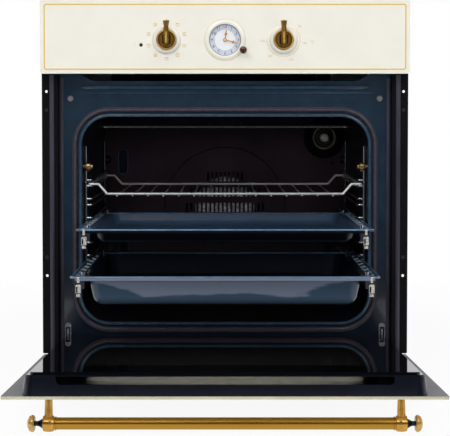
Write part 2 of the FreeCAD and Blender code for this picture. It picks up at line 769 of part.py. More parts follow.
# Wire side racks with paired rungs, each held by a stud and nut at both ends
studs = []
for side, sign in SIDES:
    wires = []
    for end, along, step in (("front", "post_front", -1), ("back", "post_back", 1)):
        wires.append(rod(f"rack_post_{side}_{end}", "post_radius", "rack_top - rack_bottom", "z",
                         f"{sign} * post_offset", f"frame_y + {along}", "rack_bottom"))
        stud_y = f"frame_y + {along} + {step} * (post_radius + stud_radius + seat_gap)"
        nut_end = "post_offset - post_radius - seat_gap"
        inner = f"{nut_end} - nut_length - 4"
        stud = rod(f"stud_{side}_{end}", "stud_radius", f"opening_width / 2 - ({inner})", "x",
                   "-opening_width / 2" if sign < 0 else inner, stud_y, "stud_height")
        nut = rod(f"nut_{side}_{end}", "nut_radius", "nut_length", "x",
                  f"-({nut_end})" if sign < 0 else f"{nut_end} - nut_length", stud_y, "stud_height")
        studs.append(fuse(f"stud_nut_{side}_{end}", stud, nut))
    weld_x = sign * size("post_offset - post_radius + seat_gap / 2")
    rung_x = sign * size("rung_offset")
    front_y = size("frame_y + post_front")
    back_y = size("frame_y + post_back")
    for level in range(RACK_LEVELS):
        for half in (-1, 1):
            z = size(f"first_level + {level} * level_pitch + {half} * rung_gap / 2")
            path = [(weld_x, front_y, z), (rung_x, front_y, z), (rung_x, back_y, z), (weld_x, back_y, z)]
            rung = bent_bar(path, size("rung_radius"), size("rung_radius") * 2)
            wires.append(feature(f"rung_{side}_{level}_{half + 1}", rung))
    node(f"side_rack_{side}", *wires)
node("rack_studs", *studs)


def rail_strip(name, sign, inner, outer, y, length, z, height):
    return box(name, f"({outer}) - ({inner})", length, height, f"{sign} * (({outer}) + ({inner})) / 2", y,
               z)


def channel(name, sign, web_inner, flange_inner, y, length, z, height):
    """Rail of channel section: one web with a flange along its top and bottom edge."""
    web = rail_strip(name + "_web", sign, web_inner, f"{web_inner} + rail_sheet", y, length, z, height)
    low = rail_strip(name + "_low", sign, flange_inner, f"{flange_inner} + rail_grip", y, length, z,
                     "rail_sheet")
    high = rail_strip(name + "_high", sign, flange_inner, f"{flange_inner} + rail_grip", y, length,
                      f"{z} + ({height}) - rail_sheet", "rail_sheet")
    return web, low, high


def basin(name, width, depth, height, radius, y, z):
    """Block that narrows downwards, rounded everywhere but round its top face."""
    body = doc.addObject("PartDesign::Body", name)
    block = body.newObject("PartDesign::AdditiveWedge", name + "_block")
    set_sizes(block, Xmin=f"-({width}) / 2", Xmax=f"({width}) / 2", Zmin="0", Zmax=depth, Ymin="0",
              Ymax=height, X2min=f"-({width}) / 2 + basin_taper", X2max=f"({width}) / 2 - basin_taper",
              Z2min="basin_taper", Z2max=f"({depth}) - basin_taper")
    doc.recompute()
    names = [f"Edge{number}" for number, edge in enumerate(block.Shape.Edges,
                                                           start=1) if edge.BoundBox.YMax > 0.1]
    fillet(body, block, names, radius)
    return put(body, "0", y, z, TURN["y"])


# Telescopic runners and the trays that ride on them
guides = []
for name, level, pull, basin_depth in (("lower", 0, "lower_pull", "deep_basin"),
                                       ("upper", UPPER_LEVEL, "upper_pull", "shallow_basin")):
    level_z = f"first_level + {level} * level_pitch"
    rail_z = f"{level_z} - tray_sheet / 2 - rail_height"
    home_y = "frame_y + tray_setback"
    tray_y = f"{home_y} - {pull}"
    middles = []
    carriages = []
    tray_cuts = []
    for side, sign in SIDES:
        guide = channel(f"{name}_guide_{side}", sign, "rail_outer - rail_sheet",
                        "rail_outer - rail_sheet - rail_grip", f"{home_y} + rail_end",
                        "rail_length - rail_end / 2", rail_z, "rail_height - 2 * seat_gap")
        guides.append(fuse(f"{name}_guide_{side}", *guide))
        middles.append(rail_strip(f"{name}_middle_{side}", sign, "rail_inner + rail_sheet + rail_slack",
                                  "rail_outer - rail_sheet - rail_slack", f"{home_y} + cage_end",
                                  f"rail_length - {pull} - cage_end / 2",
                                  f"{rail_z} + rail_sheet + rail_slack",
                                  "rail_height - 2 * rail_sheet - 2 * rail_slack"))
        pieces = list(channel(f"{name}_carriage_{side}", sign, "rail_inner", "rail_inner + rail_sheet",
                              f"{tray_y} + 4.5", "rail_length", rail_z, "rail_height"))
        pieces.append(rail_strip(f"{name}_cap_{side}", sign, "rail_inner",
                                 "rail_inner + rail_sheet + rail_grip",
                                 f"{tray_y} + 2", "3", rail_z, "rail_height"))
        pin_x = f"{sign} * (rail_inner + rail_sheet / 2 + rail_grip / 2)"
        for end, pin_y in (("front", f"{tray_y} + 4.5 + pin_inset"),
                           ("back", f"{tray_y} + 4.5 + rail_length - pin_inset")):
            pieces.append(rod(f"{name}_pin_{side}_{end}", "pin_radius",
                              "rail_sheet / 2 + tray_sheet + pin_rise", "z",
                              pin_x, pin_y, f"{rail_z} + rail_height - rail_sheet / 2"))
            tray_cuts.append(rod(f"{name}_pin_hole_{side}_{end}", "pin_radius + seat_gap", "3 * tray_sheet",
                                 "z", pin_x, pin_y, f"{level_z} - 1.5 * tray_sheet"))
        carriages.append(fuse(f"{name}_carriage_{side}", *pieces))
        for slot in range(FLANGE_SLOTS):
            slot_y = f"{tray_y} + tray_depth * {(slot + 1) / (FLANGE_SLOTS + 1)} - flange_slot_length / 2"
            tray_cuts.append(box(f"{name}_slot_{side}_{slot}", "flange_slot_width", "flange_slot_length",
                                 "3 * tray_sheet", f"{sign} * (basin_width / 4 + tray_width / 4 + 1)",
                                 slot_y, f"{level_z} - 1.5 * tray_sheet"))
    node(f"{name}_middle_rails", *middles)
    node(f"{name}_carriage", *carriages)
    rim = rounded_box(f"{name}_rim", "tray_width", "tray_depth", "tray_sheet", "0", tray_y,
                      f"{level_z} - tray_sheet / 2", "z", "tray_corner")
    hem = box(f"{name}_hem", "tray_width - 2 * tray_corner", "tray_sheet", "tray_hem", "0", tray_y,
              f"{level_z} + tray_sheet / 2 - tray_hem")
    basin_length = "tray_depth - 2 * basin_margin"
    outer = basin(f"{name}_basin_outer", "basin_width", basin_length, basin_depth, "basin_radius",
                  f"{tray_y} + basin_margin", f"{level_z} + tray_sheet / 2")
    hollow = basin(f"{name}_basin_inner", "basin_width - 2 * tray_sheet",
                   f"{basin_length} - 2 * tray_sheet",
                   f"{basin_depth} - tray_sheet + 1", "basin_radius - tray_sheet",
                   f"{tray_y} + basin_margin + tray_sheet", f"{level_z} + tray_sheet / 2 + 1")
    blank = fuse(f"{name}_tray_blank", rim, hem, outer)
    node(f"{name}_tray", cut(f"{name}_tray_pan", blank, hollow, *tray_cuts))
node("guide_rails", *guides)

# Wire rack: a stepped frame of thick wire with thinner bars welded under its low part
grid_r = size("grid_wire")
GRID_Z = f"(first_level + {GRID_LEVEL} * level_pitch - rung_gap / 2 + rung_radius + grid_wire + seat_gap)"
rest_z = size(GRID_Z)
low_z = size(f"{GRID_Z} - grid_drop")
half = size("grid_half_width")
low_half = size("grid_low_half_width")
slope = size("grid_slope")
grid_front = size("frame_y + grid_setback")
grid_back = size("frame_y + grid_setback + grid_depth")
grid_middle = (grid_front + grid_back) / 2
frame_halves = []
for end_name, end_y in (("front", grid_front), ("back", grid_back)):
    path = [(-half, grid_middle, rest_z), (-half, end_y, rest_z), (-low_half - slope, end_y, rest_z),
            (-low_half, end_y, low_z), (low_half, end_y, low_z), (low_half + slope, end_y, rest_z),
            (half, end_y, rest_z), (half, grid_middle, rest_z)]
    frame_halves.append(feature(f"grid_{end_name}", bent_bar(path, grid_r, grid_r * 1.5)))
bars = []
for bar in range(GRID_BARS):
    bars.append(rod(f"grid_bar_{bar}", "grid_bar", "grid_depth + 2 * grid_wire", "y",
                    f"{bar - (GRID_BARS - 1) / 2} * grid_bar_pitch", "frame_y + grid_setback - grid_wire",
                    f"{GRID_Z} - grid_drop - grid_wire - grid_bar * 0.6"))
node("wire_rack", fuse("grid", *frame_halves, *bars))

# Control panel: folded sheet, open at the back, with holes for shafts, clock, button and lamp
fascia_block = rounded_box("fascia_block", "overall_width", "front_depth - trim_sheet", "fascia_height",
                           "0", "face_y", "door_head", "y", "fascia_corner")
fascia_room = box("fascia_room", "overall_width - 2 * fascia_wall", "front_depth",
                  "fascia_height - 2 * fascia_wall", "0", "face_y + fascia_wall", "door_head + fascia_wall")
KNOBS = (("function", "-knob_spacing / 2"), ("temperature", "knob_spacing / 2"))
BUTTON_Z = "control_height - button_drop"
PILOT_Z = "control_height - pilot_drop"


def fascia_hole(name, radius, x, z):
    return rod(name, radius, "3 * fascia_wall", "y", x, "face_y - fascia_wall", z)


fascia_holes = [fascia_hole("clock_hole", "clock_radius", "0", "control_height"),
                fascia_hole("button_hole", "button_stem_radius + running_gap", "button_offset", BUTTON_Z),
                fascia_hole("pilot_hole", "pilot_radius * 0.8 + seat_gap / 2", "-pilot_offset", PILOT_Z)]
for name, x in KNOBS:
    fascia_holes.append(fascia_hole(f"{name}_hole", "shaft_radius + 2", x, "control_height"))
node("control_panel", cut("fascia", fascia_block, fascia_room, *fascia_holes))

# Knobs with a raised lever, each inside a fixed collar, and the switches they turn
collars = []
for name, x in KNOBS:
    collar_inner = "knob_radius + collar_gap"
    collars.append(turned(f"{name}_collar", [(collar_inner, "0"), ("collar_radius", "0"),
                                             ("collar_radius", "collar_height * 0.25"),
                                             ("collar_radius - 1.2", "collar_height * 0.7"),
                                             ("collar_radius - 3.5", "collar_height"),
                                             (collar_inner, "collar_height")], x, "face_y",
                          "control_height", 180))
    knob_front = "face_y - knob_stand - knob_thickness"
    disc = turned(f"{name}_disc",
                  [("0", "0"), ("knob_radius", "0"), ("knob_radius", "knob_thickness * 0.8"),
                   ("knob_radius - 0.8", "knob_thickness"), ("knob_radius - 2.6", "knob_thickness"),
                   ("knob_radius - 3.4", "knob_thickness - 1"), ("0", "knob_thickness - 1")],
                  x, "face_y - knob_stand", "control_height", 180)
    shaft = rod(f"{name}_shaft", "shaft_radius", "knob_stand + fascia_wall + shaft_length", "y", x,
                "face_y - knob_stand", "control_height")
    lever = rounded_box(f"{name}_lever", "lever_width", "lever_rise + 2", "lever_reach + lever_tail", x,
                        f"{knob_front} - lever_rise", "control_height - lever_tail", "y",
                        "lever_width * 0.45")
    head = cone(f"{name}_lever_head", "lever_width * 0.44", "lever_head_radius", "lever_head_length", "z",
                x, f"{knob_front} - lever_rise / 2", "control_height + lever_reach - lever_head_overlap")
    node(f"{name}_knob", fuse(f"{name}_knob_solid", disc, shaft, lever, head))
    switch = box(f"{name}_switch_block", "switch_width", "switch_depth", "switch_height", x,
                 "face_y + fascia_wall", "control_height - switch_height / 2")
    bore = rod(f"{name}_switch_bore", "shaft_radius + running_gap", "shaft_length + 2", "y", x,
               "face_y + fascia_wall - 1", "control_height")
    node("function_switch" if name == "function" else "thermostat", cut(f"{name}_switch_body", switch,
                                                                        bore))
node("knob_collars", *collars)

# Clock: bezel, glass, cup, dial with its arbor, two hands, and the setting button on a sprung stem
button_path = rod("button_path", "button_stem_radius + seat_gap", "4 * clock_bezel_height", "y",
                  "button_offset", "face_y - 2 * clock_bezel_height", BUTTON_Z)
bezel_ring = turned("bezel_ring", [("clock_radius", "0"), ("clock_bezel_radius", "0"),
                                   ("clock_bezel_radius - 0.6", "clock_bezel_height * 0.4"),
                                   ("clock_bezel_radius - 4", "clock_bezel_height"),
                                   ("clock_radius + 1.5", "clock_bezel_height"),
                                   ("clock_radius", "clock_bezel_height * 0.7")], "0", "face_y",
                    "control_height", 180)
node("clock_bezel", cut("bezel", bezel_ring, button_path))
node("clock_glass", rod("clock_pane", "clock_radius - seat_gap", "clock_glass_thickness", "y", "0",
                        "face_y - clock_bezel_height * 0.6", "control_height"))
cup_block = rod("cup_block", "clock_cup_radius", "clock_cup_depth", "y", "0", "face_y + fascia_wall",
                "control_height")
cup_room = rod("cup_room", "clock_cup_radius - clock_cup_wall", "clock_cup_depth - clock_cup_wall", "y",
               "0", "face_y + fascia_wall - clock_cup_wall / 2", "control_height")
node("clock_housing", cut("cup", cup_block, cup_room))
dial_plate = rod("dial_plate", "clock_cup_radius - clock_cup_wall - seat_gap", "dial_thickness", "y", "0",
                 "face_y + dial_setback", "control_height")
arbor = rod("arbor", "arbor_radius", "dial_setback + dial_thickness / 2", "y", "0", "face_y",
            "control_height")
node("clock_dial", fuse("dial", dial_plate, arbor))


def clock_hand(name, length, y, angle):
    """Hand drawn at the arbor pointing up, then turned and set on the dial's centre."""
    blade = box(f"{name}_blade", "hand_width", "hand_thickness", length, "0", "0", "0")
    hub = rod(f"{name}_hub", "2 * arbor_radius", "hand_thickness", "y", "0", "0", "0")
    spade = rod(f"{name}_spade", "hand_width * 1.3", "hand_thickness", "y", "0", "0", f"({length}) * 0.62")
    bore = rod(f"{name}_bore", "arbor_radius + running_gap", "3 * hand_thickness", "y", "0",
               "-hand_thickness", "0")
    hand = cut(f"{name}_plate", fuse(f"{name}_outline", blade, hub, spade), bore)
    part = node(name, hand)
    put(part, "0", y, "control_height", Rotation(Vector(0, 1, 0), 1))
    part.setExpression("Placement.Rotation.Angle", bind(f"{angle} * 1deg"))


clock_hand("hour_hand", "hour_hand_length", "face_y + dial_setback - 3 * hand_thickness", "hour_hand_angle")
clock_hand("minute_hand", "minute_hand_length", "face_y + dial_setback - 5 * hand_thickness",
           "minute_hand_angle")

stem_rod = rod("stem_rod", "button_stem_radius", "button_stand + button_travel + 8", "y", "button_offset",
               "face_y - button_stand + 1.5", BUTTON_Z)
stem_stop = rod("stem_stop", "button_stem_radius + 1.5", "2", "y", "button_offset",
                "face_y + fascia_wall + seat_gap", BUTTON_Z)
node("clock_stem", fuse("stem", stem_rod, stem_stop))
ball = ellipsoid("ball", "button_radius", "button_radius", "button_radius", "button_offset",
                 "face_y - button_stand", BUTTON_Z)
ball_bore = rod("ball_bore", "button_stem_radius + running_gap", "2 * button_radius", "y", "button_offset",
                "face_y - button_stand + 1.5 - seat_gap", BUTTON_Z)
node("clock_button", cut("button", ball, ball_bore))

pilot_dome = ellipsoid("pilot_dome", "pilot_radius", "pilot_radius * 0.6", "pilot_radius", "-pilot_offset",
                       "face_y", PILOT_Z)
pilot_half = box("pilot_half", "3 * pilot_radius", "3 * pilot_radius", "3 * pilot_radius", "-pilot_offset",
                 "face_y", f"{PILOT_Z} - 1.5 * pilot_radius")
pilot_stem = rod("pilot_stem", "pilot_radius * 0.8", "12", "y", "-pilot_offset", "face_y", PILOT_Z)
node("indicator_lamp", fuse("pilot", cut("pilot_cap", pilot_dome, pilot_half), pilot_stem))

# Door, drawn shut: painted outer panel with its window, liner, panes and hinge leaves
panel_blank = rounded_box("panel_blank", "overall_width", "panel_sheet", "door_height", "0", "face_y",
                          "door_bottom", "y", "panel_corner")
WINDOW_Z = "door_top - window_top_drop - window_height"
window_block = rounded_box("window_block", "window_width", "3 * panel_sheet", "window_height", "0",
                           "face_y - panel_sheet", WINDOW_Z, "y", "window_corner")
window_arch = rod("window_arch", "window_arch_radius", "3 * panel_sheet", "y", "0", "face_y - panel_sheet",
                  f"{WINDOW_Z} + window_height - window_arch_radius")
panel_window = common("panel_window", window_block, window_arch)
door_node("door_outer_panel", cut("outer_panel", panel_blank, panel_window))
door_node("door_window", box("window_pane", "window_width + 2 * window_overlap", "glass_sheet",
                             "window_height + 2 * window_overlap", "0", "face_y + panel_sheet",
                             f"{WINDOW_Z} - window_overlap"))

liner_body = doc.addObject("PartDesign::Body", "liner_body")
liner_block = liner_body.newObject("PartDesign::AdditiveWedge", "liner_block")
LINER_HALF = "(overall_width / 2 - liner_inset)"
LINER_FACE_HALF = "(overall_width / 2 - liner_inset - liner_taper)"
LINER_LOW = "(door_bottom + liner_edge)"
LINER_HIGH = "(door_top - liner_edge)"
LINER_DEPTH = "(door_thickness - panel_sheet)"
set_sizes(liner_block, Xmin=f"-{LINER_HALF}", Xmax=LINER_HALF, Zmin=LINER_LOW, Zmax=LINER_HIGH, Ymin="0",
          Ymax=LINER_DEPTH, X2min=f"-{LINER_FACE_HALF}", X2max=LINER_FACE_HALF, Z2min=LINER_LOW,
          Z2max=LINER_HIGH)
doc.recompute()
liner_rounds = []
for number, edge in enumerate(liner_block.Shape.Edges, start=1):
    bounds = edge.BoundBox
    runs_up_the_glass_side = bounds.YMin > bounds.XLength and bounds.ZLength > bounds.XLength
    if bounds.YLength > bounds.ZLength or runs_up_the_glass_side:
        liner_rounds.append(f"Edge{number}")
fillet(liner_body, liner_block, liner_rounds, "liner_corner")
put(liner_body, "0", "face_y + panel_sheet", "0")
ROOM_HALF = f"({LINER_FACE_HALF} - liner_wall)"
PANE_Y = "(face_y + door_thickness - glass_sheet)"
SILL_Z = "(door_bottom + liner_sill)"
liner_room = box("liner_room", f"2 * {ROOM_HALF}", f"{LINER_DEPTH} - glass_sheet - liner_wall + 1",
                 f"{LINER_HIGH} - {LINER_LOW} - 2 * liner_wall", "0", "face_y + panel_sheet - 1",
                 f"{LINER_LOW} + liner_wall")
liner_view = box("liner_view", f"2 * {ROOM_HALF} - 2 * liner_frame", "2 * door_thickness",
                 f"{LINER_HIGH} - {SILL_Z} - 2 * liner_frame", "0", "face_y", f"{SILL_Z} + liner_frame")
pane_seat = box("pane_seat", "overall_width", "2 * glass_sheet", "door_height", "0", PANE_Y, SILL_Z)
air_slot = rounded_box("air_slot", "liner_slot_width", "liner_slot_height + glass_sheet", "4 * liner_wall",
                       "0", f"{PANE_Y} - liner_slot_height", f"{LINER_HIGH} - 2 * liner_wall", "z",
                       "liner_slot_height * 0.45")
hook_notches = []
leaves = []
for side, sign in SIDES:
    hook_notches.append(box(f"hook_notch_{side}", "receiver_width + 2", "door_thickness",
                            "hook_height / 2 + 3 + hinge_height - door_bottom + 1",
                            f"{sign} * hinge_offset", "hinge_y - hook_height / 2 - 3", "door_bottom - 1"))
    leaf_x = f"{sign} * (hinge_offset - hook_sheet - 1)"
    leaf_plate = box(f"leaf_plate_{side}", "hook_sheet", "hinge_setback - panel_sheet + 7",
                     "leaf_length + 8", leaf_x, "face_y + panel_sheet", "hinge_height - 8")
    leaf_bore = rod(f"leaf_bore_{side}", "hinge_pin_radius + running_gap", "3 * hook_sheet", "x",
                    f"{leaf_x} - 1.5 * hook_sheet", "hinge_y", "hinge_height")
    leaves.append(cut(f"leaf_{side}", leaf_plate, leaf_bore))
door_node("door_liner", cut("liner", liner_body, liner_room, liner_view, pane_seat, air_slot,
                            *hook_notches))
door_node("hinge_leaves", *leaves)
door_node("door_inner_glass", rounded_box("inner_pane", f"2 * {LINER_FACE_HALF} - liner_corner",
                                          "glass_sheet", f"{LINER_HIGH} - {SILL_Z} - 2 * seat_gap", "0",
                                          PANE_Y, f"{SILL_Z} + seat_gap", "y", "liner_corner / 2"))
MIDDLE_LOW = "(hinge_height + leaf_length + 4)"
door_node("door_middle_glass", box("middle_pane", f"2 * {ROOM_HALF} - 2 * seat_gap", "glass_sheet",
                                   f"{LINER_HIGH} - liner_wall - seat_gap - {MIDDLE_LOW}", "0",
                                   "face_y + panel_sheet + glass_sheet + 6", MIDDLE_LOW))

# Handle: bar between two posts, with a ferrule on each post and a finial at each end
BAR_Y = "(face_y - handle_standoff)"
BAR_Z = "(door_top - handle_drop)"
BAR_HALF = "(handle_post_spacing / 2 - ferrule_length / 2)"
door_node("handle_bar", rod("bar", "handle_radius", f"2 * {BAR_HALF}", "x", f"-{BAR_HALF}", BAR_Y, BAR_Z))
brackets = []
finials = []
for side, sign in SIDES:
    post_x = f"{sign} * handle_post_spacing / 2"
    post = cone(f"handle_post_{side}", "handle_post_radius * 1.1", "handle_post_radius * 0.9",
                "handle_standoff", "y", post_x, BAR_Y, BAR_Z)
    barrel = ellipsoid(f"ferrule_barrel_{side}", "ferrule_length * 1.1", "ferrule_radius", "ferrule_radius",
                       post_x, BAR_Y, BAR_Z)
    barrel_trim = box(f"ferrule_trim_{side}", "ferrule_length", "4 * ferrule_radius", "4 * ferrule_radius",
                      post_x, f"{BAR_Y} - 2 * ferrule_radius", f"{BAR_Z} - 2 * ferrule_radius")
    ferrule = common(f"ferrule_{side}", barrel, barrel_trim)
    brackets.append(fuse(f"bracket_{side}", post, ferrule))
    profile = [("0", "0"), ("finial_radius * 0.62", "0"), ("finial_neck_radius",
                                                           "finial_neck_length * 0.6"),
               ("finial_neck_radius", "finial_neck_length"), ("finial_radius * 0.8", "finial_neck_length"),
               ("finial_radius", "finial_neck_length + finial_length * 0.2"),
               ("finial_radius", "finial_neck_length + finial_length * 0.4"),
               ("finial_radius * 0.86", "finial_neck_length + finial_length * 0.75"),
               ("finial_radius * 0.5", "finial_neck_length + finial_length"),
               ("0", "finial_neck_length + finial_length")]
    finials.append(turned(f"finial_{side}", profile,
                          f"{sign} * (handle_post_spacing / 2 + ferrule_length / 2)", BAR_Y,
                          BAR_Z, -90 * sign))
door_node("handle_brackets", *brackets)
door_node("handle_finials", *finials)

# Fixed half of the hinges: hooks with pins, and the plates round their slots
hooks = []
receivers = []
for side, sign in SIDES:
    hook_x = f"{sign} * hinge_offset"
    arm = box(f"hook_arm_{side}", "hook_sheet", "hook_length", "hook_height", hook_x,
              "hinge_y - hook_height / 2", "hinge_height - hook_height / 2")
    pin_inner = "hinge_offset - hook_sheet * 1.5 - 2"
    pin_start = "-hinge_offset - hook_sheet / 2" if sign < 0 else pin_inner
    pin = rod(f"hook_pin_{side}", "hinge_pin_radius", "2 * hook_sheet + 2", "x", pin_start, "hinge_y",
              "hinge_height")
    lock = box(f"hook_lock_{side}", "hook_sheet * 0.6", "hook_lock_length", "hook_lock_height", hook_x,
               "frame_y - 1", "hinge_height + hook_height / 2 - 1")
    hooks.append(fuse(f"hook_{side}", arm, pin, lock))
    plate = rounded_box(f"receiver_plate_{side}", "receiver_width", "1.2", "receiver_height", hook_x,
                        "frame_y - 1.2", "hinge_height - hook_height / 2 - 7", "y", "receiver_width * 0.45")
    slot = box(f"receiver_slot_{side}", "hook_sheet + 2", "6", "receiver_height - 14", hook_x,
               "frame_y - 3", "hinge_height - hook_height / 2")
    receivers.append(cut(f"receiver_{side}", plate, slot))
node("hinge_hooks", *hooks)
node("hinge_receivers", *receivers)

# Cooling blower above the cavity, blowing out under the control panel
DUCT_Y = "(frame_y + frame_sheet)"
WHEEL_Y = f"({DUCT_Y} + duct_depth - blower_radius - 20)"
WHEEL_Z = "(duct_bottom + duct_height / 2)"
duct_block = box("duct_block", "duct_width", "duct_depth", "duct_height", "0", DUCT_Y, "duct_bottom")
duct_room = box("duct_room", "duct_width - 2 * duct_sheet", "duct_depth - duct_sheet + 1",
                "duct_height - 2 * duct_sheet", "0", f"{DUCT_Y} - 1", "duct_bottom + duct_sheet")
intake = box("intake", "blower_length * 0.9", "blower_radius", "4 * duct_sheet", "0",
             f"{WHEEL_Y} - blower_radius / 2", "duct_bottom + duct_height - 2 * duct_sheet")
wheel_bore = rod("wheel_bore", "shaft_radius + running_gap", "2 * duct_width", "x", "-duct_width", WHEEL_Y,
                 WHEEL_Z)
blower_motor = box("blower_motor", "blower_motor_size", "blower_motor_size", "blower_motor_size",
                   "duct_width / 2 + blower_motor_size / 2", f"{WHEEL_Y} - blower_motor_size / 2",
                   f"{WHEEL_Z} - blower_motor_size / 2")
motor_hole = rod("blower_motor_bore", "shaft_radius + running_gap", "blower_motor_size", "x",
                 "duct_width / 2 - blower_motor_size / 2", WHEEL_Y, WHEEL_Z)
node("blower_housing", cut("duct", duct_block, duct_room, intake, wheel_bore),
     cut("blower_motor_body", blower_motor, motor_hole))
wheel = [rod("wheel_shaft", "shaft_radius", "duct_width + blower_motor_size / 2 - 2", "x",
             "-duct_width / 2", WHEEL_Y, WHEEL_Z)]
for side, sign in SIDES:
    wheel.append(rod(f"wheel_disc_{side}", "blower_radius", "2 * blower_blade_sheet", "x",
                     f"{sign} * (blower_length / 2 - blower_blade_sheet) - blower_blade_sheet", WHEEL_Y,
                     WHEEL_Z))
for blade in range(BLOWER_BLADES):
    angle = 360 * blade / BLOWER_BLADES
    vane = doc.addObject("Part::Box", f"wheel_blade_{blade}")
    set_sizes(vane, Length="blower_length - blower_blade_sheet", Width="blower_blade_sheet",
              Height="blower_radius * 0.25")
    put(vane, "-blower_length / 2 + blower_blade_sheet / 2",
        f"{WHEEL_Y} - blower_radius * 0.7 * sin({angle} * 1deg)",
        f"{WHEEL_Z} + blower_radius * 0.7 * cos({angle} * 1deg)", Rotation(Vector(1, 0, 0), angle))
    wheel.append(vane)
node("blower_rotor", fuse("blower_wheel", *wheel))

# Mains terminal box with its cable gland in the back panel
terminal = box("terminal", "inlet_box_width", "inlet_box_depth", "inlet_box_height", "-inlet_offset",
               "casing_depth / 2 - casing_sheet - inlet_box_depth", "inlet_height - inlet_box_height / 2")
gland = rod("gland", "gland_radius", "gland_length + casing_sheet", "y", "-inlet_offset",
            "casing_depth / 2 - casing_sheet", "inlet_height")
gland_bore = rod("gland_bore", "gland_bore", "2 * gland_length + casing_sheet", "y", "-inlet_offset",
                 "casing_depth / 2 - casing_sheet - gland_length", "inlet_height")
node("mains_inlet", cut("inlet", fuse("inlet_blank", terminal, gland), gland_bore))

# Check every object, then write one file for each sub-part
doc.recompute()
for obj in doc.Objects:
    if "Invalid" in obj.State or "Error" in obj.State:
        raise RuntimeError(f"{obj.Name} did not recompute: {obj.State}")
for part in nodes:
    if part.Shape.isNull() or not part.Shape.isValid() or not part.Shape.Solids:
        raise RuntimeError(f"{part.Label} has no valid shape")
os.makedirs("parts", exist_ok=True)
for part in nodes:
    part.Shape.exportStep(f"parts/{part.Label}.step")
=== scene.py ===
import math

import bmesh
import bpy
from mathutils import Matrix, Vector


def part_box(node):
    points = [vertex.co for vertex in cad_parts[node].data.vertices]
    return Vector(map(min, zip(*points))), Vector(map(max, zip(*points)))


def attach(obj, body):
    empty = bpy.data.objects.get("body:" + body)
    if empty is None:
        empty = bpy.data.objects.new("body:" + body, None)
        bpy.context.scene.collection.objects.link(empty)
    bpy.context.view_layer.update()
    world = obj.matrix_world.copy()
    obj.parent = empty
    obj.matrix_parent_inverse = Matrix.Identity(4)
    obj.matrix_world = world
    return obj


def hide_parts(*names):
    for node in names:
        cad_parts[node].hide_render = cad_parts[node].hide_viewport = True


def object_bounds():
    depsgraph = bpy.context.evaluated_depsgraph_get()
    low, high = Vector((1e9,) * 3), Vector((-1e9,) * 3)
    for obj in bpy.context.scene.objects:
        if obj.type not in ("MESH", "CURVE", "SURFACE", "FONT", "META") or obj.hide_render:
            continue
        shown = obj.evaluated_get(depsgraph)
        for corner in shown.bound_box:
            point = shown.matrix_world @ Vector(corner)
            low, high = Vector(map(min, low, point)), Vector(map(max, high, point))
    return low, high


# Looks of the built-in oven: finishes of its CAD nodes, printed marks, pressed forms, seal and hardware

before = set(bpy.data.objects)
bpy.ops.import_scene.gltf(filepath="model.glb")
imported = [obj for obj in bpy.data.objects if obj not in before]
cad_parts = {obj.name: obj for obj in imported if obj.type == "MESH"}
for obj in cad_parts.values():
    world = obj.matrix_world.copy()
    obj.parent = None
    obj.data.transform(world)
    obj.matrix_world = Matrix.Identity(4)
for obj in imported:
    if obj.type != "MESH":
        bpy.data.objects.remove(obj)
cad_low, cad_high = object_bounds()
scene = bpy.context.scene
scene.view_settings.view_transform = "Standard"

MM = 0.001


def box_mm(node):
    """Lowest and highest corner of a CAD node in millimetres."""
    low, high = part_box(node)
    return low / MM, high / MM


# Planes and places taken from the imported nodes, in millimetres
panel_low, panel_high = box_mm("control_panel")
frame_low, frame_high = box_mm("front_frame")
FACE_Y = panel_low.y
FRAME_Y = frame_low.y
DOOR_HEAD = panel_low.z
HALF_WIDTH = panel_high.x
CONTROL_Z = sum(corner.z for corner in box_mm("clock_glass")) / 2
KNOB_X = sum(corner.x for corner in box_mm("temperature_knob")) / 2

# Mouth of the cavity and swing of the door, in millimetres and radians
OPENING_HALF = 235.0
OPENING_LOW = 69.5
OPENING_HIGH = 407.5
OPENING_RADIUS = 46.0
HINGE_Y = -274.0
HINGE_Z = 34.0
DOOR_SWING = math.radians(87.3)


# Helpers for materials
def rgb(red, green, blue):
    """Linear colour from display values of 0 to 255."""
    def linear(value):
        part = value / 255
        return part / 12.92 if part <= 0.04045 else ((part + 0.055) / 1.055) ** 2.4
    return (linear(red), linear(green), linear(blue), 1.0)


